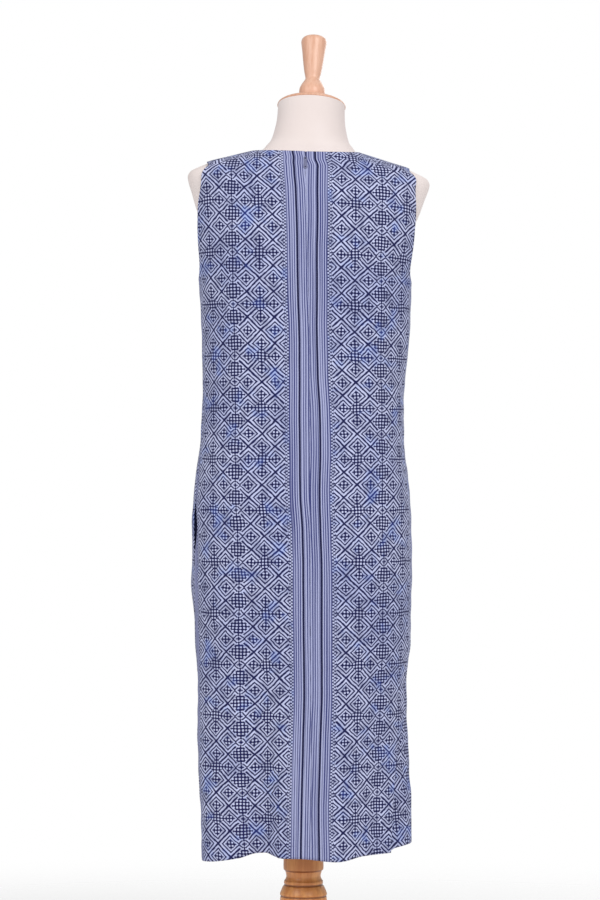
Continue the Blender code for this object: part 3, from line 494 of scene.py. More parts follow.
cover = NodeBench("cream_jersey_cover")
cover_soft = cover.noise(cover.place("object"), 9.0, 3.0)
cover_knit = cover.noise(cover.place("object", (1.0, 1.0, 2.0)), 1400.0, 1.0)
cover_cream = cover.blend(cover.soft_step(cover_soft, 0.3, 0.7),
                          srgb(233, 220, 216), srgb(240, 229, 226))
cover.surface({"Base Color": cover_cream, "Roughness": 0.9})
cover.bump(cover_knit * 0.25 + cover_soft, 0.0006, 0.35)
torso = form_torso()
torso.data.materials.append(cover.material)
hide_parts("form_torso")
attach(torso, "dress_and_form")

# ---------------------------------------------------------------------------
# Neck cap and finial: light wood turned on a lathe, varnished, on the neck's tilted top. The
# cap is a thin disc that closes the neck, and the finial is the form's carrying handle.
CAP_NOD = math.radians(15.4)
CAP_CENTRE = (0.0, 0.009, 1.4826 - SHOULDER_REST)
CAP_TURNING = (
    (0.0, 0.0135), (0.02, 0.013), (0.033, 0.0112), (0.044, 0.0086), (0.0505, 0.0064),
    (0.0535, 0.0042), (0.054, 0.0022), (0.053, 0.0007), (0.051, 0.0003), (0.0, 0.0003),
)
FINIAL_TURNING = (
    (0.0, 0.1062), (0.01, 0.1058), (0.0165, 0.1043), (0.0196, 0.101), (0.0204, 0.0965),
    (0.0181, 0.0817), (0.0157, 0.061), (0.0134, 0.046), (0.0115, 0.038), (0.0113, 0.034),
    (0.014, 0.0295), (0.0172, 0.0245), (0.0197, 0.019), (0.0205, 0.014), (0.0202, 0.0085),
    (0.019, 0.0045), (0.0196, 0.0035), (0.0198, 0.0012), (0.019, 0.0), (0.0, 0.0),
)
FINIAL_SEAT = 0.0138
cap_tilt = Matrix.Rotation(-CAP_NOD, 4, "X") @ Matrix.Rotation(LEAN_ANGLE, 4, "Y")
cap_spot = Vector(leaned(np.array([CAP_CENTRE]))[0])
cap_place = Matrix.Translation(cap_spot) @ cap_tilt
finial_spot = cap_spot + cap_tilt.to_3x3() @ Vector((0.0, 0.0, FINIAL_SEAT))
finial_place = Matrix.Translation(finial_spot) @ cap_tilt
light_wood = wood_material("light_turned_wood", srgb(233, 186, 160), srgb(214, 158, 128), 190.0,
                           turn=(CAP_NOD, 0.0, 0.0))
for part_name, turning, place, sides in (("neck_cap", CAP_TURNING, cap_place, 128),
                                         ("finial", FINIAL_TURNING, finial_place, 96)):
    piece = turned_piece("turned_" + part_name, rounded_profile(turning, 2), sides, place)
    piece.data.materials.append(light_wood)
    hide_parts(part_name)
    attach(piece, "dress_and_form")

# ---------------------------------------------------------------------------
# Dress panels: two backs, joined at the centre back seam, and one front. They are cut from
# one hand-batiked indigo cotton, and hang from the shoulders with a soft flare at the hem.
CLOTH = 0.0010
UNDERARM = 1.205
POCKET_TOP = 0.878
POCKET_FOOT = 0.767
SLIT_TOP = 0.492
HEM_LEVEL = 0.3116
NECK_HEIGHTS = {"back": 1.4045, "front": 1.322}
NECK_POINTS = {"left": 1.4060, "right": 1.4102}
SHOULDER_TIPS = {"left": 1.3874, "right": 1.3892}
DENSE = 400
SEAM_GAP = 0.0003
CLOTH_SPAN = (0.28, 1.405)

DRESS = Sections("height left right back front square", (
    (0.28, 0.1565, 0.1705, 0.104, 0.112, 2.2),
    (0.326, 0.1585, 0.1695, 0.104, 0.112, 2.2),
    (0.39, 0.1615, 0.1675, 0.106, 0.112, 2.2),
    (0.452, 0.1645, 0.1645, 0.108, 0.112, 2.2),
    (0.515, 0.166, 0.1615, 0.11, 0.112, 2.2),
    (0.579, 0.1655, 0.161, 0.112, 0.111, 2.25),
    (0.641, 0.1695, 0.1675, 0.115, 0.11, 2.25),
    (0.704, 0.1725, 0.1685, 0.119, 0.109, 2.3),
    (0.767, 0.1745, 0.17, 0.122, 0.109, 2.3),
    (0.83, 0.1745, 0.1685, 0.121, 0.111, 2.3),
    (0.893, 0.1695, 0.1645, 0.115, 0.112, 2.3),
    (0.956, 0.1615, 0.157, 0.106, 0.112, 2.3),
    (1.019, 0.1585, 0.1565, 0.101, 0.116, 2.3),
    (1.082, 0.1595, 0.1605, 0.099, 0.124, 2.35),
    (1.145, 0.1625, 0.165, 0.1, 0.132, 2.4),
    (1.205, 0.168, 0.166, 0.1025, 0.129, 2.4),
    (1.271, 0.179, 0.178, 0.1035, 0.11, 2.35),
    (1.334, 0.188, 0.187, 0.097, 0.084, 2.3),
    (1.366, 0.1915, 0.1915, 0.086, 0.074, 2.3),
    (1.374, 0.187, 0.187, 0.0825, 0.072, 2.3),
    (1.38, 0.177, 0.177, 0.0795, 0.0705, 2.3),
    (1.384, 0.168, 0.168, 0.078, 0.0695, 2.3),
    (1.3884, 0.1575, 0.1575, 0.076, 0.069, 2.3),
    (1.395, 0.1336, 0.1336, 0.0725, 0.068, 2.3),
    (1.4015, 0.1101, 0.1101, 0.069, 0.0675, 2.3),
    (1.408, 0.0866, 0.0866, 0.065, 0.0675, 2.3),
    (1.4102, 0.0794, 0.0794, 0.064, 0.0675, 2.3),
    (1.413, 0.074, 0.074, 0.063, 0.068, 2.3),
    (1.418, 0.07, 0.07, 0.062, 0.068, 2.3),
))
SEAMS = Sections("height left right", (
    (0.28, 2.0, 36.0), (0.345, 6.0, 34.0), (0.42, 9.0, 29.5), (0.455, 8.5, 24.5),
    (0.492, 8.0, 18.0), (0.55, 8.0, 10.0), (0.65, 10.0, 3.0), (0.75, 14.0, 0.0),
    (0.822, 16.0, 0.0), (0.88, 13.0, 0.0), (1.0, 8.0, 0.0), (1.1, 4.0, 0.0),
    (1.205, 0.0, 0.0),
))
POCKET_GAPE = {"left": 4.0, "right": 2.5}
SLITS = Sections("height left_pass right_pass left_back left_front right_back right_front", (
    (0.28, 2.0, 5.0, 0.002, -0.005, 0.006, -0.003),
    (0.345, -4.5, 3.0, 0.0, -0.002, 0.005, -0.003),
    (0.42, -7.0, -0.5, -0.001, 0.001, 0.003, -0.002),
    (0.455, -3.5, -1.0, 0.0, 0.0, 0.0015, -0.0015),
    (0.492, 0.0, 0.0, 0.0, 0.0, 0.0, 0.0),
))
SLIT_EDGE_WIDTH = 0.032
ARMHOLE = Sections("along rise left_back right_back left_front right_front", (
    (0.0, 0.0, 0.0, 0.0, 0.0, 0.0),
    (0.1, 0.03, 9.0, 10.0, 10.0, 10.0),
    (0.22, 0.12, 15.0, 17.0, 19.0, 19.0),
    (0.42, 0.36, 19.5, 22.0, 27.0, 27.0),
    (0.62, 0.63, 25.0, 26.0, 32.0, 32.0),
    (0.78, 0.83, 31.0, 31.0, 34.5, 34.0),
    (0.89, 0.94, 31.5, 30.0, 32.0, 30.5),
    (0.96, 0.985, 19.0, 16.0, 19.5, 17.5),
    (1.0, 1.0, 0.0, 0.0, 0.0, 0.0),
))
CENTRES = Sections(
    "height back front",
    ((0.28, 0.012, 0.006), (0.8, 0.01, 0.005), (1.02, 0.009, 0.004),
     (1.27, 0.0005, 0.0), (1.405, -0.0065, -0.0065)),
)
HEM = Sections("degrees height swell", (
    (0.0, 0.324, 0.0), (28.0, 0.3196, -0.0115), (34.0, 0.3145, -0.013),
    (42.0, 0.3136, -0.013),
    (59.0, 0.3124, -0.004), (75.0, 0.306, 0.011), (91.0, 0.3102, 0.001),
    (101.0, 0.3096, -0.007), (106.0, 0.3124, -0.018), (112.0, 0.316, -0.027),
    (118.0, 0.3158, -0.0175), (127.0, 0.3092, 0.002),
    (150.0, 0.301, 0.011), (180.0, 0.298, 0.0), (210.0, 0.303, 0.006),
    (233.0, 0.3075, -0.009), (248.0, 0.309, -0.004), (259.0, 0.306, 0.012),
    (269.0, 0.303, 0.004), (285.0, 0.31, -0.015), (301.0, 0.306, 0.008),
    (320.0, 0.313, -0.006), (342.0, 0.318, 0.0), (360.0, 0.324, 0.0),
))
SWELL_TOP = 0.84
SWELL_POWER = 1.35
LONGEST_SWING = 1.2
SIDE_BLEND = 0.070
# each fold's face, top and foot, how far across its top and foot lie, its width and depth
FOLDS = (
    ("back", 1.30, 0.98, -0.118, -0.098, 0.017, 0.0035),
    ("back", 1.31, 1.00, 0.122, 0.100, 0.016, 0.0040),
    ("back", 1.12, 0.80, -0.055, -0.072, 0.018, -0.0035),
    ("back", 1.10, 0.82, 0.062, 0.078, 0.018, -0.0030),
    ("front", 1.12, 0.62, -0.085, -0.105, 0.020, 0.0045),
    ("front", 1.12, 0.60, 0.088, 0.100, 0.020, 0.0045),
)
BUST_HEIGHT = 1.150
BUST_APART = 0.082
BUST_WIDTH = 0.040
BUST_TALL = 0.052
BUST_FULLNESS = 0.0050
ZIP_MOUTH_FOOT = 1.376
ZIP_MOUTH_HALF = 0.0024
SIGN = {"left": -1.0, "right": 1.0, "back": -1.0, "front": 1.0}


def body_ring(height, angle):
    """Points of the smooth body that the dress is cut for, at ring angles."""
    x, y = squared_oval(*(DRESS.at(n, height) for n in DRESS.columns[1:]), angle)
    return np.stack([x, y, height + 0.0 * x], axis=-1)


def body_size(x, y, z):
    """How wide and how deep the smooth body is on a point's own side, and how squared."""
    return (np.where(x > 0.0, DRESS.at("right", z), DRESS.at("left", z)),
            np.where(y > 0.0, DRESS.at("front", z), DRESS.at("back", z)), DRESS.at("square", z))


def outside_body(p):
    """Above zero outside the smooth body and below zero inside it."""
    x, y, z = np.moveaxis(p, -1, 0)
    wide, deep, square = body_size(x, y, z)
    return (np.abs(x / wide) ** square + np.abs(y / deep) ** square) ** (1.0 / square) - 1.0


def body_slope(p, step=0.00002):
    parts = []
    for axis in range(3):
        nudge = np.zeros(3)
        nudge[axis] = step
        parts.append((outside_body(p + nudge) - outside_body(p - nudge)) / (2.0 * step))
    return np.stack(parts, axis=-1)


def settled(p, rounds=24, longest=0.004):
    """Moves points along the body's normals until they lie on it."""
    for _ in range(rounds):
        slope = body_slope(p)
        step = slope * (outside_body(p) / np.sum(slope * slope, axis=-1))[..., None]
        length = np.linalg.norm(step, axis=-1, keepdims=True)
        p = p - step * np.minimum(1.0, longest / np.maximum(length, 1e-9))
    return p


def flat_normals(p):
    slope = body_slope(p)
    slope[..., 2] = 0.0
    return slope / np.linalg.norm(slope, axis=-1, keepdims=True)


def ring_degrees(p):
    x, y, z = np.moveaxis(p, -1, 0)
    wide, deep, square = body_size(x, y, z)
    across = np.sign(x) * np.abs(x / wide) ** (square / 2.0)
    out = -np.sign(y) * np.abs(y / deep) ** (square / 2.0)
    return np.degrees(np.arctan2(out, across)) % 360.0


def broad_folds(p):
    """The cloth's stand-off from the smooth body: folds, bust and the hem's swing."""
    t = np.clip(0.5 + p[..., 1] / SIDE_BLEND, 0.0, 1.0)
    share = t * t * (3.0 - 2.0 * t)
    total = np.zeros(p.shape[:-1])
    for face, top, foot, across_top, across_foot, width, depth in FOLDS:
        down = np.clip((top - p[..., 2]) / (top - foot), 0.0, 1.0)
        off = (p[..., 0] - across_top - (across_foot - across_top) * down) / width
        weight = share if face == "front" else 1.0 - share
        total += weight * depth * np.sin(math.pi * down) ** 2 * np.exp(-off * off)
    for side in (-1.0, 1.0):
        across = (p[..., 0] - side * BUST_APART) / BUST_WIDTH
        tall = (p[..., 2] - BUST_HEIGHT) / BUST_TALL
        total += share * BUST_FULLNESS * np.exp(-across * across - tall * tall)
    place = ring_degrees(p)
    swing = np.maximum(0.0, SWELL_TOP - p[..., 2]) / (SWELL_TOP - HEM.at("height", place))
    return total + HEM.at("swell", place) * np.minimum(swing, LONGEST_SWING) ** SWELL_POWER


# Small creases of worn cotton, as crossing waves: each one's lie, length, start and depth, the
# waves along which it drifts and fades, and the height above which the worn shoulders lie calm
CREASES = ((11.0, 0.085, 0.7, 0.0011), (-38.0, 0.063, 2.1, 0.0007), (64.0, 0.112, 4.4, 0.0011),
           (86.0, 0.047, 1.2, 0.0004), (-71.0, 0.078, 5.3, 0.0006))
CREASE_DRIFTS = (0.13, 0.071)
CREASE_FADES = (0.19, 0.23)
CREASE_CALM_TOP = 1.36
CREASE_CALM_FOOT = 1.24
CREASE_LEAST = 0.12


def small_creases(u, v, z):
    total = np.zeros(np.shape(u))
    for lie, wave, start, depth in CREASES:
        turn = math.radians(lie)
        along = u * math.cos(turn) + v * math.sin(turn)
        across = v * math.cos(turn) - u * math.sin(turn)
        drift = (0.9 * np.sin(across / CREASE_DRIFTS[0] + start * 3.0)
                 + 0.6 * np.sin(across / CREASE_DRIFTS[1]))
        fade = 0.55 + 0.45 * np.sin(across / CREASE_FADES[0] + along / CREASE_FADES[1] + start)
        total += depth * fade * np.sin(2.0 * math.pi * along / wave + start + drift)
    calm = (CREASE_CALM_TOP - z) / (CREASE_CALM_TOP - CREASE_CALM_FOOT)
    return total * np.clip(calm, CREASE_LEAST, 1.0)


def draped(p, lift=0.0):
    return p + flat_normals(p) * (broad_folds(p) + lift)[..., None]


def side_angle(face, side, height):
    """Ring angle of a side seam's edge; the panels part at the pocket's mouth and the slit."""
    degrees = float(SEAMS.at(side, height))
    if face == "front":
        degrees += float(SLITS.at(side + "_pass", height))
    if POCKET_FOOT < height < POCKET_TOP:
        mouth = math.sin(math.pi * (height - POCKET_FOOT) / (POCKET_TOP - POCKET_FOOT)) ** 2
        degrees += -SIGN[face] * POCKET_GAPE[side] * mouth
    behind = math.radians(degrees)
    if side == "right":
        return behind if face == "back" else 2.0 * math.pi + behind
    return math.pi - behind


def centre_angle(face, height):
    x = float(CENTRES.at(face, height))
    wide = float(DRESS.at("right" if x > 0.0 else "left", height))
    square = float(DRESS.at("square", height))
    off = math.asin(math.copysign(abs(x / wide) ** (square / 2.0), x))
    return math.pi / 2.0 - off if face == "back" else 1.5 * math.pi + off


def centre_gap(face, height):
    if face == "front":
        return 0.0
    opened = max(0.0, (height - ZIP_MOUTH_FOOT) / (NECK_HEIGHTS["back"] - ZIP_MOUTH_FOOT))
    return SEAM_GAP / 2.0 + ZIP_MOUTH_HALF * opened


def running(steps, axis=0):
    """How far along each line its points lie, from the lengths of its steps."""
    return np.insert(np.cumsum(steps, axis=axis), 0, 0.0, axis=axis)


def at_lengths(line, wanted):
    """Points of a dense line at wanted lengths from its start."""
    lengths = running(np.linalg.norm(np.diff(line, axis=0), axis=1))
    return np.stack([np.interp(wanted, lengths, line[:, k]) for k in range(3)], axis=-1)


def spaced(line, shares, start_gap=0.0, end_gap=0.0):
    """Points at shares of a dense line's length, held back from its ends by the gaps."""
    length = np.linalg.norm(np.diff(line, axis=0), axis=1).sum()
    return at_lengths(line, start_gap + (length - start_gap - end_gap) * shares)


# Columns of a half panel: even, with close ones beside the seams where the edge rolls in
EDGE_SHARES = (0.0, 0.004, 0.010, 0.018)
COLUMNS = np.concatenate([EDGE_SHARES, np.linspace(0.032, 0.968, 46),
                          1.0 - np.array(EDGE_SHARES)[::-1]])
NECK_SHARE = 0.54
ROWS = {"slit": 40, "thigh": 56, "pocket": 24, "waist": 66, "yoke": 52}
YOKE_CLOSING = 1.35


def body_rows(face, side):
    """Rows from the hem to the underarm, each from the centre to the side seam."""
    heights = [HEM_LEVEL]
    for span, foot, top in (("slit", HEM_LEVEL, SLIT_TOP), ("thigh", SLIT_TOP, POCKET_FOOT),
                            ("pocket", POCKET_FOOT, POCKET_TOP), ("waist", POCKET_TOP, UNDERARM)):
        heights += [foot + (top - foot) * (i + 1) / ROWS[span] for i in range(ROWS[span])]
    smooth_rows = []
    for nominal in heights:
        start = centre_angle(face, nominal)
        end = side_angle(face, side, nominal)
        angle = np.linspace(start, end, DENSE)
        height = np.full(DENSE, nominal)
        if nominal < SLIT_TOP:
            down = (SLIT_TOP - nominal) / (SLIT_TOP - HEM_LEVEL)
            height = SLIT_TOP - down * (SLIT_TOP - HEM.at("height", np.degrees(angle) % 360.0))
        line = body_ring(height, angle)
        off = np.abs(end - angle) * np.linalg.norm(line[:, :2], axis=1) / SLIT_EDGE_WIDTH
        lift = SLITS.at(side + "_" + face, height) * np.exp(-off * off)
        shaped = draped(line, lift)
        smooth_rows.append(spaced(draped(line, lift), COLUMNS, centre_gap(face, nominal),
                                  SEAM_GAP / 2.0))
    return np.array(smooth_rows)


def on_face(face, x, height):
    wide, _, square = body_size(x, 0.0, height)
    share = np.maximum(0.0, 1.0 - np.minimum(1.0, np.abs(x) / wide) ** square) ** (1.0 / square)
    depth = DRESS.at(face, height) * share
    return np.stack([x + 0.0 * height, SIGN[face] * depth, height + 0.0 * x], axis=-1)


def yoke_rows(face, side, bottom):
    """Rows above the underarm, blended between the centre, armhole, neckline and shoulder."""
    neck = NECK_HEIGHTS[face]
    point, tip = NECK_POINTS[side], SHOULDER_TIPS[side]
    outer = side_angle(face, side, UNDERARM)
    inward = -SIGN[face] * SIGN[side]
    t = np.linspace(0.0, 1.0, DENSE)
    levels = 1.0 - (1.0 - np.linspace(0.0, 1.0, ROWS["yoke"] + 1)) ** YOKE_CLOSING
    heights = UNDERARM + (neck - UNDERARM) * t
    centre = np.array([body_ring(np.array(h), np.array(centre_angle(face, h))) for h in heights])
    rise = UNDERARM + (tip - UNDERARM) * ARMHOLE.at("rise", t)
    armhole = body_ring(rise, outer + inward * np.radians(ARMHOLE.at(side + "_" + face, t)))
    middle = float(CENTRES.at(face, neck))
    corner = float(DRESS.at(side, point)) * SIGN[side]
    turn = 0.5 * math.pi * t
    neckline = on_face(face, middle + (corner - middle) * np.sin(turn),
                       neck + (point - neck) * (1.0 - np.cos(turn)))
    shoulder = body_ring(point + (tip - point) * t, np.full(DENSE, outer))
    centre = spaced(centre, levels)
    armhole = spaced(armhole, levels)
    neck_columns = COLUMNS[COLUMNS < NECK_SHARE]
    split = len(neck_columns)
    top = np.concatenate([
        spaced(neckline, neck_columns / NECK_SHARE, centre_gap(face, neck)),
        spaced(shoulder, (COLUMNS[split:] - NECK_SHARE) / (1.0 - NECK_SHARE))])
    first = settled(bottom)
    u = COLUMNS[None, :, None]
    v = levels[1:, None, None]
    across = centre[1:, None] * (1.0 - u) + armhole[1:, None] * u
    upward = first[None] * (1.0 - v) + top[None] * v
    corners = ((first[0] * (1.0 - u) + first[-1] * u) * (1.0 - v)
               + (top[0] * (1.0 - u) + top[-1] * u) * v)
    grid = across + upward - corners
    grid[:-1, :-1] = settled(grid[:-1, :-1])
    grid = draped(grid)
    grid[:, split:, 1] += (SEAM_GAP / 2.0) * SIGN[face] * levels[1:, None] ** 6
    if face == "back":
        for row in grid:
            middle = float(CENTRES.at("back", row[0, 2]))
            row[0, 0] = middle + SIGN[side] * centre_gap(face, row[0, 2])
    return grid


def half_panel(face, side):
    """Smooth cloth of a half panel, and its flat coordinates: metres from the centre and up."""
    lower = body_rows(face, side)
    rows = np.concatenate([lower, yoke_rows(face, side, lower[-1].copy())])
    across = running(np.linalg.norm(np.diff(rows[..., :2], axis=1), axis=-1), axis=1)
    fine = np.linspace(*CLOTH_SPAN, 900)
    run = running(np.hypot(np.diff(fine), np.diff(DRESS.at(face, fine))))
    up = np.interp(rows[..., 2], fine, run)
    for k in range(len(lower), len(rows)):
        step = np.linalg.norm(rows[k] - rows[k - 1], axis=-1)
        slip = across[k] - across[k - 1]
        up[k] = up[k - 1] + np.sqrt(np.maximum(step ** 2 - slip ** 2, 0.0))
    return rows, across * SIGN[side], up


# Where the cloth turns in or is stitched: the allowance of the back's neck shows as a faint
# line, a dart runs up from each side seam of the front towards the bust, and the cloth puckers
# beside its seams, by a height, two waves up the seam, a reach across it and a sunken line
NECK_TURNING = 1.3785
DART_POINT = (0.112, 0.850)
DART_SIDE = (0.235, 0.800)
DART_DEPTH = 0.0009
DART_WIDTH = 0.0013
QUIET_REACH = 0.030
CENTRE_PUCKERS = (0.00055, 0.0052, 0.041, 0.010, 0.0007)
SIDE_PUCKERS = (0.0005, 0.0061, 0.053, 0.009, 0.0005)
SEAM_LINE = 0.0016
PUCKER_START = 0.002
EDGE_ROLL = 0.0005
EDGE_ROLL_WIDTH = 0.0022
TURNING_DEPTH = 0.0007
TURNING_WAVE = 0.017
TURNING_WAVER = 0.0012
TURNING_END = 0.075
TURNING_FADE = 0.02


def dart_distance(along, v):
    """Distance of flat points from the stitched line of a bust dart."""
    step = np.array(DART_SIDE) - np.array(DART_POINT)
    share = ((along - DART_POINT[0]) * step[0] + (v - DART_POINT[1]) * step[1]) / step.dot(step)
    share = np.clip(share, 0.0, 1.3)
    return np.hypot(along - DART_POINT[0] - share * step[0], v - DART_POINT[1] - share * step[1])


def puckers(off, v, height, short, long, reach, sunk):
    """Small waves that run out from a seam, and the line that its stitches sink."""
    waves = height * np.sin(v / short + 2.0 * np.sin(v / long)) * np.exp(-off / reach)
    return waves * np.clip(off / PUCKER_START, 0.0, 1.0) - sunk * np.exp(-(off / SEAM_LINE) ** 2)


def rolled_and_creased(rows, u, v, centre_seam):
    """Adds small creases and lets the cloth turn in at its seams and finished edges."""
    z = rows[..., 2]
    along = np.abs(u)
    to_start = along - along[:, :1]
    to_end = along[:, -1:] - along
    to_foot = v - v[:1]
    push = small_creases(u, v, z)
    # quiet beside every edge, so that joined pieces keep meeting
    for off in ([to_start] if centre_seam else []) + [to_end, to_foot, v[-1:] - v]:
        push *= np.clip(np.abs(off) / QUIET_REACH, 0.0, 1.0) ** 0.8
    push += puckers(to_end, v, *SIDE_PUCKERS)
    push -= EDGE_ROLL * np.exp(-(np.abs(to_foot) / EDGE_ROLL_WIDTH) ** 2)
    if centre_seam:
        push += puckers(to_start, v, *CENTRE_PUCKERS)
        turning = (z - NECK_TURNING - TURNING_WAVER * np.sin(u / TURNING_WAVE)) / SEAM_LINE
        fading = np.clip((TURNING_END - along) / TURNING_FADE, 0.0, 1.0)
        push -= TURNING_DEPTH * np.exp(-turning ** 2) * fading
    else:
        push -= DART_DEPTH * np.exp(-(dart_distance(along, v) / DART_WIDTH) ** 2)
    return rows + flat_normals(rows) * push[..., None]


def cloth_panel(name, rows, u, v, outward):
    """A thin shell through a grid of points, with its flat coordinates in the map 'cloth'."""
    faces = grid_faces(*rows.shape[:2])
    if not outward:
        faces = [face[::-1] for face in faces]
    mesh = bpy.data.meshes.new(name)
    mesh.from_pydata(leaned(rows).reshape(-1, 3).tolist(), [], faces)
    flat = np.stack([u, v], axis=-1).reshape(-1, 2)
    corner_verts = np.empty(len(mesh.loops), dtype=np.int32)
    mesh.loops.foreach_get("vertex_index", corner_verts)
    layer = mesh.uv_layers.new(name="cloth")
    layer.uv.foreach_set("vector", flat[corner_verts].astype(np.float32).reshape(-1))
    mesh.shade_smooth()
    made = linked(name, mesh)
    shell = made.modifiers.new("shell", "SOLIDIFY")
    shell.thickness = CLOTH
    shell.offset = 1.0
    return made


# The print: charted on a lattice of half steps, in wax-white lines on indigo. A chart
# line lies at one diagonal coordinate, and is centred and reaches half its length along the other
STEP_ACROSS = 0.0214
STEP_UP = 0.0199
BAND_HALF = 0.0325
PANEL_STEPS = 8.0
DOT_PITCH = STEP_UP / 4.0
LINE_PITCH = 0.0036
PRINT_START = 0.0507
DYE_DARK = srgb(8, 10, 66)
DYE_MIDDLE = srgb(78, 84, 150)
WAX_WHITE = srgb(210, 216, 248)
BOLD_LINE = 0.0163
WOBBLE = 0.0042
WAX_EDGE = 0.035
OUTLINES = ((0.10, 0.28), (0.43, 0.56))
DOT_GRID = 0.25
BORDER_ROWS = ((0.0014, 0.0), (0.0042, 0.5))
BORDER_HALF = 0.0056
THREAD_PITCH = 0.0009
REPEAT = BAND_HALF * 2.0 + PANEL_STEPS * STEP_ACROSS
CHART_LINES = (("a", 1.0, -0.62, 1.62), ("b", 1.0, 2.62, 1.62),
               ("b", -1.0, 1.0, 1.24), ("a", 3.0, 1.0, 1.24))
# how much of the printed band each back panel's seam takes in, down the back
TAKEN_IN = Sections("height left right", (
    (0.3, 0.0, 0.004), (0.382, 0.0012, 0.005), (0.444, 0.0028, 0.0034),
    (0.506, 0.0046, 0.0016), (0.568, 0.0063, -0.0005), (0.691, 0.0058, -0.0008),
    (0.753, 0.0058, -0.0011), (0.814, 0.0049, 0.0004), (0.876, 0.0014, 0.0016),
    (0.938, 0.0012, 0.0001), (1.0, 0.0006, 0.0011), (1.061, 0.0009, 0.0041),
    (1.123, 0.0013, 0.0045), (1.185, 0.0006, 0.0029), (1.247, 0.0009, 0.0019),
    (1.308, 0.0009, -0.0005), (1.344, 0.0009, -0.0015), (1.37, -0.0007, -0.0025),
    (1.38, -0.001, -0.0027), (1.3935, -0.0015, 0.0013), (1.405, -0.0045, 0.0009),
))


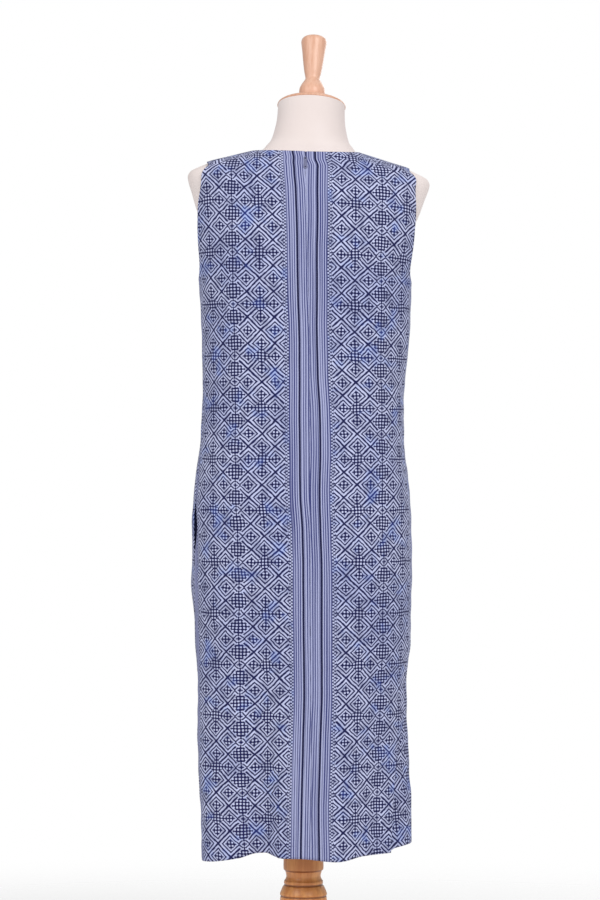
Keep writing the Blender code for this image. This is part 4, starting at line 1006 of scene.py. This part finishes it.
def batik_material():
    bench = NodeBench("indigo_batik_cotton")
    m, step, noise = bench.math, bench.soft_step, bench.noise

    def cloth(scale=EVEN, turn=0.0):
        return bench.place("cloth", scale, (0.0, 0.0, turn))

    def inside(value, low, high):
        """1 below low, 0 above high."""
        return 1.0 - step(value, low, high)

    def between(value, low, high):
        return (step(value, low - WAX_EDGE, low + WAX_EDGE)
                - step(value, high - WAX_EDGE, high + WAX_EDGE))

    def away(first, second):
        return m("SQRT", first * first + second * second)

    flat_u, flat_v, _ = bench.parts(cloth())
    wobble_across = (noise(cloth(), 38.0, 2.0) - 0.5) * WOBBLE
    u = abs(flat_u) + wobble_across
    v = flat_v + (noise(cloth(turn=1.3), 41.0, 2.0) - 0.5) * WOBBLE
    # the cloth repeats a stripe band and a figured panel across its width
    from_band = abs(m("WRAP", u, REPEAT / 2.0, -REPEAT / 2.0))
    steady_u = abs(flat_u) + wobble_across * 0.12
    in_stripes = abs(m("WRAP", steady_u, REPEAT / 2.0, -REPEAT / 2.0))
    x = 3.0 - abs(3.0 - ((from_band - BAND_HALF) / STEP_ACROSS - 1.0))
    y = m("PINGPONG", (v - PRINT_START) / STEP_UP, 2.0)
    a, b = x + y, x - y
    nearest = 9.0
    for on, at, middle, half in CHART_LINES:
        p, q = (a, b) if on == "a" else (b, a)
        nearest = m("MINIMUM", nearest, m("MAXIMUM", abs(p - at), abs(q - middle) - half))
    # hand-poured wax runs thicker here and thinner there
    nearest = nearest + (noise(cloth(turn=2.1), 150.0, 2.0) - 0.5) * 0.14
    white = between(nearest, *OUTLINES[0]) + between(nearest, *OUTLINES[1])
    # dots fill the cells beyond the outlines, on every second place of a fine diagonal grid
    a_place, b_place = a / DOT_GRID + 0.5, b / DOT_GRID + 0.5
    odd = m("PINGPONG", m("FLOOR", a_place) + m("FLOOR", b_place), 1.0)
    dotted = inside(away(m("FRACT", a_place) - 0.5, m("FRACT", b_place) - 0.5), 0.34, 0.56) * odd
    white = m("MAXIMUM", white, dotted * step(nearest, 0.55, 0.60))
    # dotted rosettes, with a dash through their middles
    on_mirror = inside(abs(x - 3.0) + abs(y - 1.0), 0.78, 0.84)
    on_rosette = inside(abs(x - 1.0) + abs(y - 2.0), 0.64, 0.70)
    dash = inside(abs(m("PINGPONG", y, 1.0) - 0.5), 0.04, 0.09)
    white = bench.blend(m("MAXIMUM", on_mirror, on_rosette), white, dotted * (1.0 - dash))

    # the stripe band: two bold lines, and streaks of dye between them
    off_bold = abs(in_stripes - BOLD_LINE)
    bold = inside(off_bold, 0.0013, 0.0019)
    streak = (noise(cloth((1.0, 0.004, 1.0)), 560.0, 1.0) * 0.72
              + noise(cloth((1.0, 0.02, 1.0)), 190.0, 1.0) * 0.28)
    fine = (m("SINE", steady_u * (2.0 * math.pi / LINE_PITCH)) + 1.0) * 0.5
    streak = streak * 0.74 + fine * 0.26 + step(off_bold, 0.0052, 0.0028) * 0.10
    band_white = step(streak, 0.38, 0.62) * (1.0 - bold)
    in_band = inside(in_stripes, BAND_HALF - 0.0003, BAND_HALF + 0.0003)

    # a border of two staggered rows of dots between the band and the figures
    beside_band = from_band - BAND_HALF
    border = (1.0 - in_band) * inside(from_band, BAND_HALF + BORDER_HALF,
                                      BAND_HALF + BORDER_HALF + 0.0006)
    border_white = 0.0
    for row_place, shift in BORDER_ROWS:
        cell = (m("FRACT", v / DOT_PITCH + shift) - 0.5) * DOT_PITCH
        spot = inside(away(cell, beside_band - row_place), 0.0010, 0.0019)
        border_white = m("MAXIMUM", border_white, spot)
    white = bench.blend(border, white, border_white)

    # dye and wax lie unevenly, in blotches, clouds and thin places
    blotch = noise(cloth(), 24.0, 3.0, 0.6)
    dark = bench.blend(step(blotch, 0.55, 0.72), DYE_DARK, srgb(34, 50, 122))
    pale = bench.blend(step(blotch, 0.50, 0.72), WAX_WHITE, srgb(176, 194, 244))
    cloud = noise(cloth(turn=2.6), 9.0, 3.0, 0.6)
    pale = bench.blend(step(cloud, 0.42, 0.66) * 0.45, pale, srgb(170, 180, 226))
    thin = noise(cloth(turn=0.7), 55.0, 3.0, 0.6)
    white = white * (step(thin, 0.3, 0.6) * 0.38 + 0.62)
    banded = bench.blend(band_white, srgb(54, 59, 116), srgb(178, 183, 218))
    banded = bench.blend(bold, banded, srgb(6, 6, 50))
    colour = bench.blend(in_band, bench.blend(white, dark, pale), banded)
    thread = noise(cloth((1.0, 0.3, 1.0)), 2600.0, 1.0)
    colour = bench.blend(thread * 0.16, colour, DYE_MIDDLE)
    bench.surface({"Base Color": colour, "Roughness": 0.86, "Specular IOR Level": 0.22,
                   "Sheen Weight": 0.06})
    warp, weft = (m("SINE", flat * (2.0 * math.pi / THREAD_PITCH)) for flat in (flat_u, flat_v))
    bench.bump(warp * weft, 0.00012, 0.35)
    return bench.material


batik = batik_material()
panels = {}
for side in ("left", "right"):
    rows, u, v = half_panel("back", side)
    taken = TAKEN_IN.at(side, rows[..., 2]) * SIGN[side]
    rows = rolled_and_creased(rows, u, v, True)
    panel = cloth_panel("back_panel_" + side, rows, u + taken, v, side == "right")
    panel.data.materials.append(batik)
    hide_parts("back_" + side)
    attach(panel, "dress_and_form")
    panels["back_" + side] = (panel, rows, u, v)

halves = []
for side in ("left", "right"):
    rows, u, v = half_panel("front", side)
    halves.append((rolled_and_creased(rows, u, v, False), u, v))
rows, u, v = (np.concatenate([left[:, :0:-1], right], axis=1) for left, right in zip(*halves))
front = cloth_panel("front_panel", rows, u + REPEAT / 2.0, v, False)
front.data.materials.append(batik)
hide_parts("front")
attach(front, "dress_and_form")
panels["front"] = (front, rows, u, v)


def flat_area(rows):
    """Area of the cloth that a grid of points takes, in square metres."""
    a = rows[1:, 1:] - rows[:-1, :-1]
    b = rows[1:, :-1] - rows[:-1, 1:]
    return float(0.5 * np.linalg.norm(np.cross(a, b), axis=-1).sum())


for name, (panel, rows, u, v) in panels.items():
    wide, long = float(np.ptp(u)), float(np.ptp(v))
    min(flat_area(rows), wide * long)


# Sewing: the hems are held down with short stitches of dark indigo thread, a
# few millimetres long and evenly spaced, on the outside of each panel
HEM_DEPTH = 0.020

STITCH_SEAT = 0.00008
STITCHES = {"Pitch": 0.0062, "Length": 0.0013, "Radius": 0.00014}


def row_tree(name, size_socket, run, axis, ring_sides, capped):
    """Lays copies of one small tube along a line; its named values are set on each row."""
    tree = bpy.data.node_groups.new(name, "GeometryNodeTree")
    for socket, kind in (("Line", "Geometry"), ("Pitch", "Float"), size_socket,
                         ("Radius", "Float"), ("Finish", "Material")):
        tree.interface.new_socket(socket, in_out="INPUT", socket_type="NodeSocket" + kind)
    tree.interface.new_socket("Row", in_out="OUTPUT", socket_type="NodeSocketGeometry")
    given = tree.nodes.new("NodeGroupInput").outputs

    def made_by(kind, settings, inputs):
        return joined(tree, kind, settings, inputs).outputs[0]

    line = made_by("GeometryNodeMeshToCurve", {}, {"Mesh": given["Line"]})
    spots = made_by("GeometryNodeResampleCurve", {"mode": "LENGTH"},
                    {"Curve": line, "Length": given["Pitch"]})
    lie = made_by("FunctionNodeAlignRotationToVector", {"axis": axis},
                  {"Vector": made_by("GeometryNodeInputTangent", {}, {})})
    ring = made_by("GeometryNodeCurvePrimitiveCircle", {},
                   {"Resolution": ring_sides, "Radius": given["Radius"]})
    tube = made_by("GeometryNodeCurveToMesh", {}, {"Curve": run(made_by, given),
                                                   "Profile Curve": ring, "Fill Caps": capped})
    copies = made_by("GeometryNodeInstanceOnPoints", {},
                     {"Points": spots, "Instance": tube, "Rotation": lie})
    real = made_by("GeometryNodeRealizeInstances", {}, {0: copies})
    dyed = made_by("GeometryNodeSetMaterial", {}, {"Geometry": real, "Material": given["Finish"]})
    tree.links.new(dyed, tree.nodes.new("NodeGroupOutput").inputs[0])
    return tree


def stitch_run(made_by, given):
    """A straight run of thread, centred on its own middle."""
    thread = made_by("GeometryNodeCurvePrimitiveLine", {"mode": "DIRECTION"},
                     {"Direction": (1.0, 0.0, 0.0), "Length": given["Length"]})
    half_back = made_by("ShaderNodeMath", {"operation": "MULTIPLY"}, {0: given["Length"], 1: -0.5})
    shift = made_by("ShaderNodeCombineXYZ", {}, {0: half_back})
    return made_by("GeometryNodeTransform", {}, {"Geometry": thread, "Translation": shift})


def grown_from(name, points_lists, tree, values):
    """A plain mesh grown by a node tree on open lines of points."""
    mesh = bpy.data.meshes.new(name + "_line")
    verts, edges = [], []
    for points in points_lists:
        first = len(verts)
        verts += [tuple(map(float, point)) for point in points]
        edges += [(first + i, first + i + 1) for i in range(len(points) - 1)]
    mesh.from_pydata(verts, edges, [])
    line = linked(name + "_line", mesh)
    growing = line.modifiers.new("grow", "NODES")
    growing.node_group = tree
    for socket in tree.interface.items_tree:
        if socket.in_out == "INPUT" and socket.name in values:
            growing[socket.identifier] = values[socket.name]
    shaped = line.evaluated_get(bpy.context.evaluated_depsgraph_get())
    grown = bpy.data.meshes.new_from_object(shaped)
    grown.name = name
    bpy.data.objects.remove(line)
    return linked(name, grown)


sewing = flecked_finish("indigo_sewing_thread", (2200.0, 1.0),
                        (srgb(30, 34, 90), srgb(72, 78, 140)), {"Roughness": 0.7}, (0.00008, 0.5))

sewn = row_tree("stitch_row", ("Length", "Float"), stitch_run, "X", 6, True)
seam_lines = []
for name, (panel, rows, u, v) in panels.items():
    outer = leaned(rows + flat_normals(rows) * (CLOTH + STITCH_SEAT))
    # along the hem, a hem's depth up from the edge of every column
    share = (HEM_DEPTH - (v[:-1] - v[:1])) / np.maximum(v[1:] - v[:-1], 1e-6)
    step = np.argmax((share >= 0.0) & (share < 1.0), axis=0)
    column = np.arange(rows.shape[1])
    t = share[step, column][:, None]
    hem_line = outer[step, column] * (1.0 - t) + outer[step + 1, column] * t
    seam_lines.append(hem_line[3:-3])
thread = grown_from("hem_stitches", seam_lines, sewn, {**STITCHES, "Finish": sewing})
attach(thread, "dress_and_form")

# ---------------------------------------------------------------------------
# Pocket bags: plain dark cotton, two layers folded at the front, hung inside the
# front panel from the openings in the side seams.
POCKET_BAG = Sections(
    "height reach",
    ((0.7, 0.045), (0.715, 0.085), (0.74, 0.118), (0.79, 0.132), (0.84, 0.12),
     (0.882, 0.07)),
)
BAG_CLOTH = 0.0008
BAG_OUTER_INSET = 0.0036
BAG_INNER_INSET = 0.0056
BAG_BEHIND = 0.016
BAG_MOUTH = 0.004
BAG_ROWS = 30
BAG_COLUMNS = 20
BAG_SLACK = 0.0005
BAG_WAVES = (0.009, 0.012, 0.021)
SEARCH_ARC = math.radians(75.0)
SEARCH_STEPS = 700


def inside_cloth(face, side, height, along, inset):
    """Points inside the cloth: along metres from the centre or seam, inset metres in."""
    along, inset = np.broadcast_arrays(np.asarray(along, float), np.asarray(inset, float))
    start = centre_angle("back", height) if face == "back" else side_angle("front", side, height)
    found = np.empty(along.shape + (3,))
    for way in (1.0, -1.0):
        chosen = along * way >= 0.0
        angle = start - SIGN[side] * way * np.linspace(0.0, SEARCH_ARC, SEARCH_STEPS)
        line = draped(body_ring(np.full(angle.shape, height), angle))
        lengths = running(np.linalg.norm(np.diff(line, axis=0), axis=1))
        away = np.abs(along[chosen])
        seat = body_ring(np.full(away.shape, height), np.interp(away, lengths, angle))
        found[chosen] = at_lengths(line, away) - flat_normals(seat) * inset[chosen][:, None]
    return found


def bag_grid(side):
    rows, flats = [], []
    middle = (BAG_OUTER_INSET + BAG_INNER_INSET) / 2.0
    half = (BAG_INNER_INSET - BAG_OUTER_INSET) / 2.0
    turn = np.linspace(0.0, math.pi, 7)[1:-1]
    for height in np.linspace(POCKET_BAG.keys[0], POCKET_BAG.keys[-1], BAG_ROWS):
        reach = float(POCKET_BAG.at("reach", height))
        inner = np.linspace(reach, -BAG_BEHIND, BAG_COLUMNS)
        slack = (BAG_SLACK * np.sin(inner / BAG_WAVES[0] + height / BAG_WAVES[1])
                 * np.sin(inner / BAG_WAVES[2]))
        along = np.concatenate([np.linspace(BAG_MOUTH, reach, BAG_COLUMNS),
                                reach + half * np.sin(turn), inner])
        inset = np.concatenate([np.full(BAG_COLUMNS, BAG_OUTER_INSET), middle - half * np.cos(turn),
                                BAG_INNER_INSET + np.abs(slack)])
        rows.append(inside_cloth("front", side, float(height), along, inset))
        flats.append(running(np.hypot(np.diff(along), np.diff(inset))))
    rows = np.array(rows)
    return rows, np.array(flats), np.repeat(rows[:, :1, 2], rows.shape[1], axis=1)


pocketing = flecked_finish("plain_pocketing", (900.0, 2.0),
                           (srgb(58, 62, 116), srgb(78, 82, 138)), {"Roughness": 0.88},
                           (0.00015, 0.4), ("cloth",))
for side in ("left", "right"):
    rows, u, v = bag_grid(side)
    bag = cloth_panel("pocket_" + side, rows, u, v, side == "right")
    bag.modifiers["shell"].thickness = BAG_CLOTH
    bag.modifiers["shell"].offset = 0.0
    bag.data.materials.append(pocketing)
    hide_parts("pocket_bag_" + side)
    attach(bag, "dress_and_form")
    wide, long = float(np.ptp(u)), float(np.ptp(v))
    min(flat_area(rows), wide * long)

# ---------------------------------------------------------------------------
# Concealed zip: two woven tapes and a nylon coil behind the centre back seam, closed to the
# neck, and an enamelled slider whose drop-shaped pull tab hangs outside on a small ring.
ZIP_TOP = 1.3860
ZIP_FOOT = 0.905
TAPE_WIDTH = 0.011
TAPE_THICKNESS = 0.0006
TAPE_INSET = 0.0014
COIL_WIDTH = 0.0030
COIL_DEEP = 0.0014
COIL_INSET = 0.0021
TAPE_GAP = 0.0006
TAPE_COLUMNS = 9
RIB_PITCH = 0.0011
TAPE_STITCHES = {"Pitch": 0.0034, "Length": 0.0026, "Radius": 0.00016}
COIL_WIRE = 0.0003
COIL_PITCH = 0.00115
ZIP_ROWS = 160
SLIDER_HEIGHT = 1.3945
SLIDER_WIDE = 0.0052
SLIDER_TALL = 0.0085
SLIDER_DEEP = 0.0020
SLIDER_GAP = 0.0004
NECK_WIDE = 0.0011
NECK_TALL = 0.0030
BRIDGE_RADIUS = 0.0017
BRIDGE_WIRE = 0.00045
PULL_LENGTH = 0.0200
PULL_HEAD_HALF = 0.0019
PULL_TAIL_HALF = 0.0027
PULL_THICKNESS = 0.0010
PULL_SLOT_HALF = 0.0010
PULL_SLOT_TOP = -0.0005
PULL_SLOT_FOOT = -0.0030
PULL_WINDOW = 0.0011
PULL_HEAD_TOP = 0.0005
PULL_REST_GAP = 0.0009
PULL_CORNER = 0.0006
NOTCH_HALF = 0.0006
NOTCH_DEEP = 0.0010
BRIDGE_SIDES = 12
BRIDGE_STEPS = 40

zip_heights = np.linspace(ZIP_FOOT, ZIP_TOP, ZIP_ROWS)
tape_weave = NodeBench("woven_zip_tape")
up_tape = tape_weave.parts(tape_weave.place("cloth"))[1]
ribs = tape_weave.math("SINE", up_tape * (2.0 * math.pi / RIB_PITCH))
tape_weave.surface({"Base Color": tape_weave.blend(tape_weave.soft_step(ribs, -0.6, 0.9),
                                                   srgb(34, 38, 86), srgb(66, 72, 126)),
                    "Roughness": 0.75})
tape_weave.bump(ribs, 0.00008, 0.5)
tape_lines = []
for side in ("left", "right"):
    along = COIL_WIDTH / 2.0 + TAPE_GAP + TAPE_WIDTH * np.linspace(0.0, 1.0, TAPE_COLUMNS)
    rows = np.array([inside_cloth("back", side, float(h), along, TAPE_INSET) for h in zip_heights])
    u = np.repeat(along[None], ZIP_ROWS, axis=0)
    v = np.repeat(zip_heights[:, None], TAPE_COLUMNS, axis=1)
    tape = cloth_panel("tape_" + side, rows, u, v, side == "right")
    tape.modifiers["shell"].thickness = TAPE_THICKNESS
    tape.data.materials.append(tape_weave.material)
    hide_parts("zip_tape_" + side)
    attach(tape, "dress_and_form")
    tape_lines.append(leaned(rows[:, 6] - flat_normals(rows[:, 6]) * 0.0001))

zip_sewing = grown_from("zip_stitches", tape_lines, sewn,
                        {**TAPE_STITCHES, "Finish": sewing})
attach(zip_sewing, "dress_and_form")


def coil_run(made_by, given):
    """One flattened turn of the nylon wire."""
    turn = made_by("GeometryNodeCurvePrimitiveCircle", {}, {"Resolution": 12, "Radius": 1.0})
    return made_by("GeometryNodeTransform", {}, {"Geometry": turn, "Scale": given["Turn"]})


nylon = flecked_finish("dyed_nylon_coil", (300.0, 2.0), (srgb(40, 44, 96), srgb(70, 76, 134)),
                       {"Roughness": 0.38})
coil_sides = [np.array([inside_cloth("back", side, float(h), 0.0, COIL_INSET - COIL_DEEP / 2.0)
                        for h in zip_heights]) for side in ("left", "right")]
coil = grown_from("coil_teeth", [leaned(0.5 * (coil_sides[0] + coil_sides[1]))],
                  row_tree("zip_coil_turns", ("Turn", "Vector"), coil_run, "Z", 5, False),
                  {"Pitch": COIL_PITCH, "Radius": COIL_WIRE, "Finish": nylon,
                   "Turn": (COIL_WIDTH / 2.0 - COIL_WIRE, COIL_DEEP / 2.0 - COIL_WIRE, 1.0)})
coil.data.shade_smooth()
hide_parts("zip_coil")
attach(coil, "dress_and_form")


def outlined_plate(name, outlines, thickness, round_edge, place):
    """A flat stamped plate with softened edges, from its outline and any holes in it."""
    curve = bpy.data.curves.new(name, "CURVE")
    curve.dimensions = "2D"
    curve.fill_mode = "BOTH"
    curve.extrude = thickness / 2.0 - round_edge
    curve.bevel_depth = round_edge
    curve.bevel_resolution = 2
    curve.offset = -round_edge
    for outline in outlines:
        spline = curve.splines.new("POLY")
        spline.points.add(len(outline) - 1)
        for spot, (x, y) in zip(spline.points, outline):
            spot.co = (x, y, 0.0, 1.0)
        spline.use_cyclic_u = True
    cut = linked(name + "_outline", curve)
    mesh = bpy.data.meshes.new_from_object(cut.evaluated_get(bpy.context.evaluated_depsgraph_get()))
    bpy.data.objects.remove(cut)
    plate = bmesh.new()
    plate.from_mesh(mesh)
    bmesh.ops.remove_doubles(plate, verts=plate.verts, dist=0.00001)
    return finished(name, plate, 50.0, place)


def centre_back(height):
    """Outer face of the cloth on the centre back seam, leaned with the form."""
    spot = on_face("back", CENTRES.at("back", height), np.asarray(height, float))
    return Vector(leaned(draped(spot))) - Vector((0.0, CLOTH, 0.0))


slider_seat = centre_back(SLIDER_HEIGHT)
up_cloth = (slider_seat - centre_back(SLIDER_HEIGHT - PULL_LENGTH)).normalized()
slider_place = (Matrix.Translation(slider_seat)
                @ Matrix.Rotation(-math.atan2(up_cloth.y, up_cloth.z), 4, "X")
                @ Matrix.Translation((0.0, -(PULL_THICKNESS / 2.0 + PULL_REST_GAP), 0.0)))
upright = Matrix.Rotation(math.radians(90.0), 4, "X")

enamel = flecked_finish("grey_blue_zip_enamel", (420.0, 3.0),
                        (srgb(92, 95, 130), srgb(142, 144, 176)),
                        {"Metallic": 0.35, "Roughness": 0.36}, (0.00004, 0.3))


def box_outline(half, first, second):
    return [(-half, first), (half, first), (half, second), (-half, second)]


def mirrored(points):
    return [(-x, y) for x, y in reversed(points)]


tail = (0.0, PULL_HEAD_TOP - PULL_LENGTH + PULL_TAIL_HALF)
head = arc_spots(PULL_CORNER, 6, 0.0, 0.5 * math.pi,
                 (PULL_HEAD_HALF - PULL_CORNER, PULL_HEAD_TOP - PULL_CORNER))
drop = arc_spots(PULL_TAIL_HALF, 24, math.pi, math.pi, tail) + head + mirrored(head)
window = arc_spots(PULL_WINDOW, 20, centre=tail)[:-1]
tab = outlined_plate("drop_pull_tab",
                     [drop, box_outline(PULL_SLOT_HALF, PULL_SLOT_TOP, PULL_SLOT_FOOT), window],
                     PULL_THICKNESS, 0.0002, slider_place @ upright)
tab.data.materials.append(enamel)
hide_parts("zip_pull")
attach(tab, "pull_tab")

body_y = PULL_THICKNESS / 2.0 + PULL_REST_GAP + CLOTH + SLIDER_GAP + SLIDER_DEEP / 2.0
wide, tall = SLIDER_WIDE / 2.0, SLIDER_TALL / 2.0
shield_right = [(NOTCH_HALF, tall), (wide - 0.0009, tall), (wide, tall - 0.0012),
                (wide - 0.0006, 0.0008 - tall), (wide - 0.0013, -tall)]
shield_left = mirrored(shield_right)
shield = shield_left[2:] + [(0.0, tall - NOTCH_DEEP)] + shield_right + shield_left[:2]
slider = outlined_plate("slider_body", [shield], SLIDER_DEEP, 0.0003,
                        slider_place @ Matrix.Translation((0.0, body_y, 0.0)) @ upright)
slider.data.materials.append(enamel)
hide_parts("zip_slider")
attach(slider, "dress_and_form")

bridge = bmesh.new()
loops = [[bridge.verts.new((across, (BRIDGE_RADIUS + out) * behind, (BRIDGE_RADIUS + out) * up))
          for across, out in arc_spots(BRIDGE_WIRE, BRIDGE_SIDES)[:-1]]
         for behind, up in arc_spots(1.0, BRIDGE_STEPS)[:-1]]
for loop, following in zip(loops, loops[1:] + loops[:1]):
    for j in range(BRIDGE_SIDES):
        k = (j + 1) % BRIDGE_SIDES
        bridge.faces.new((loop[j], loop[k], following[k], following[j]))
bridge_ring = finished("slider_bridge", bridge, None, slider_place)
bridge_ring.data.materials.append(enamel)
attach(bridge_ring, "dress_and_form")

neck_front = BRIDGE_RADIUS - BRIDGE_WIRE * 0.4
neck_deep = body_y - SLIDER_DEEP / 2.0 - neck_front + 0.0002
neck_outline = box_outline(NECK_WIDE / 2.0, -NECK_TALL / 2.0, NECK_TALL / 2.0)
neck_place = Matrix.Translation((0.0, neck_front + neck_deep / 2.0, 0.0))
stem = outlined_plate("slider_stem", [neck_outline], neck_deep, 0.0001,
                      slider_place @ neck_place @ upright)
stem.data.materials.append(enamel)
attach(stem, "dress_and_form")
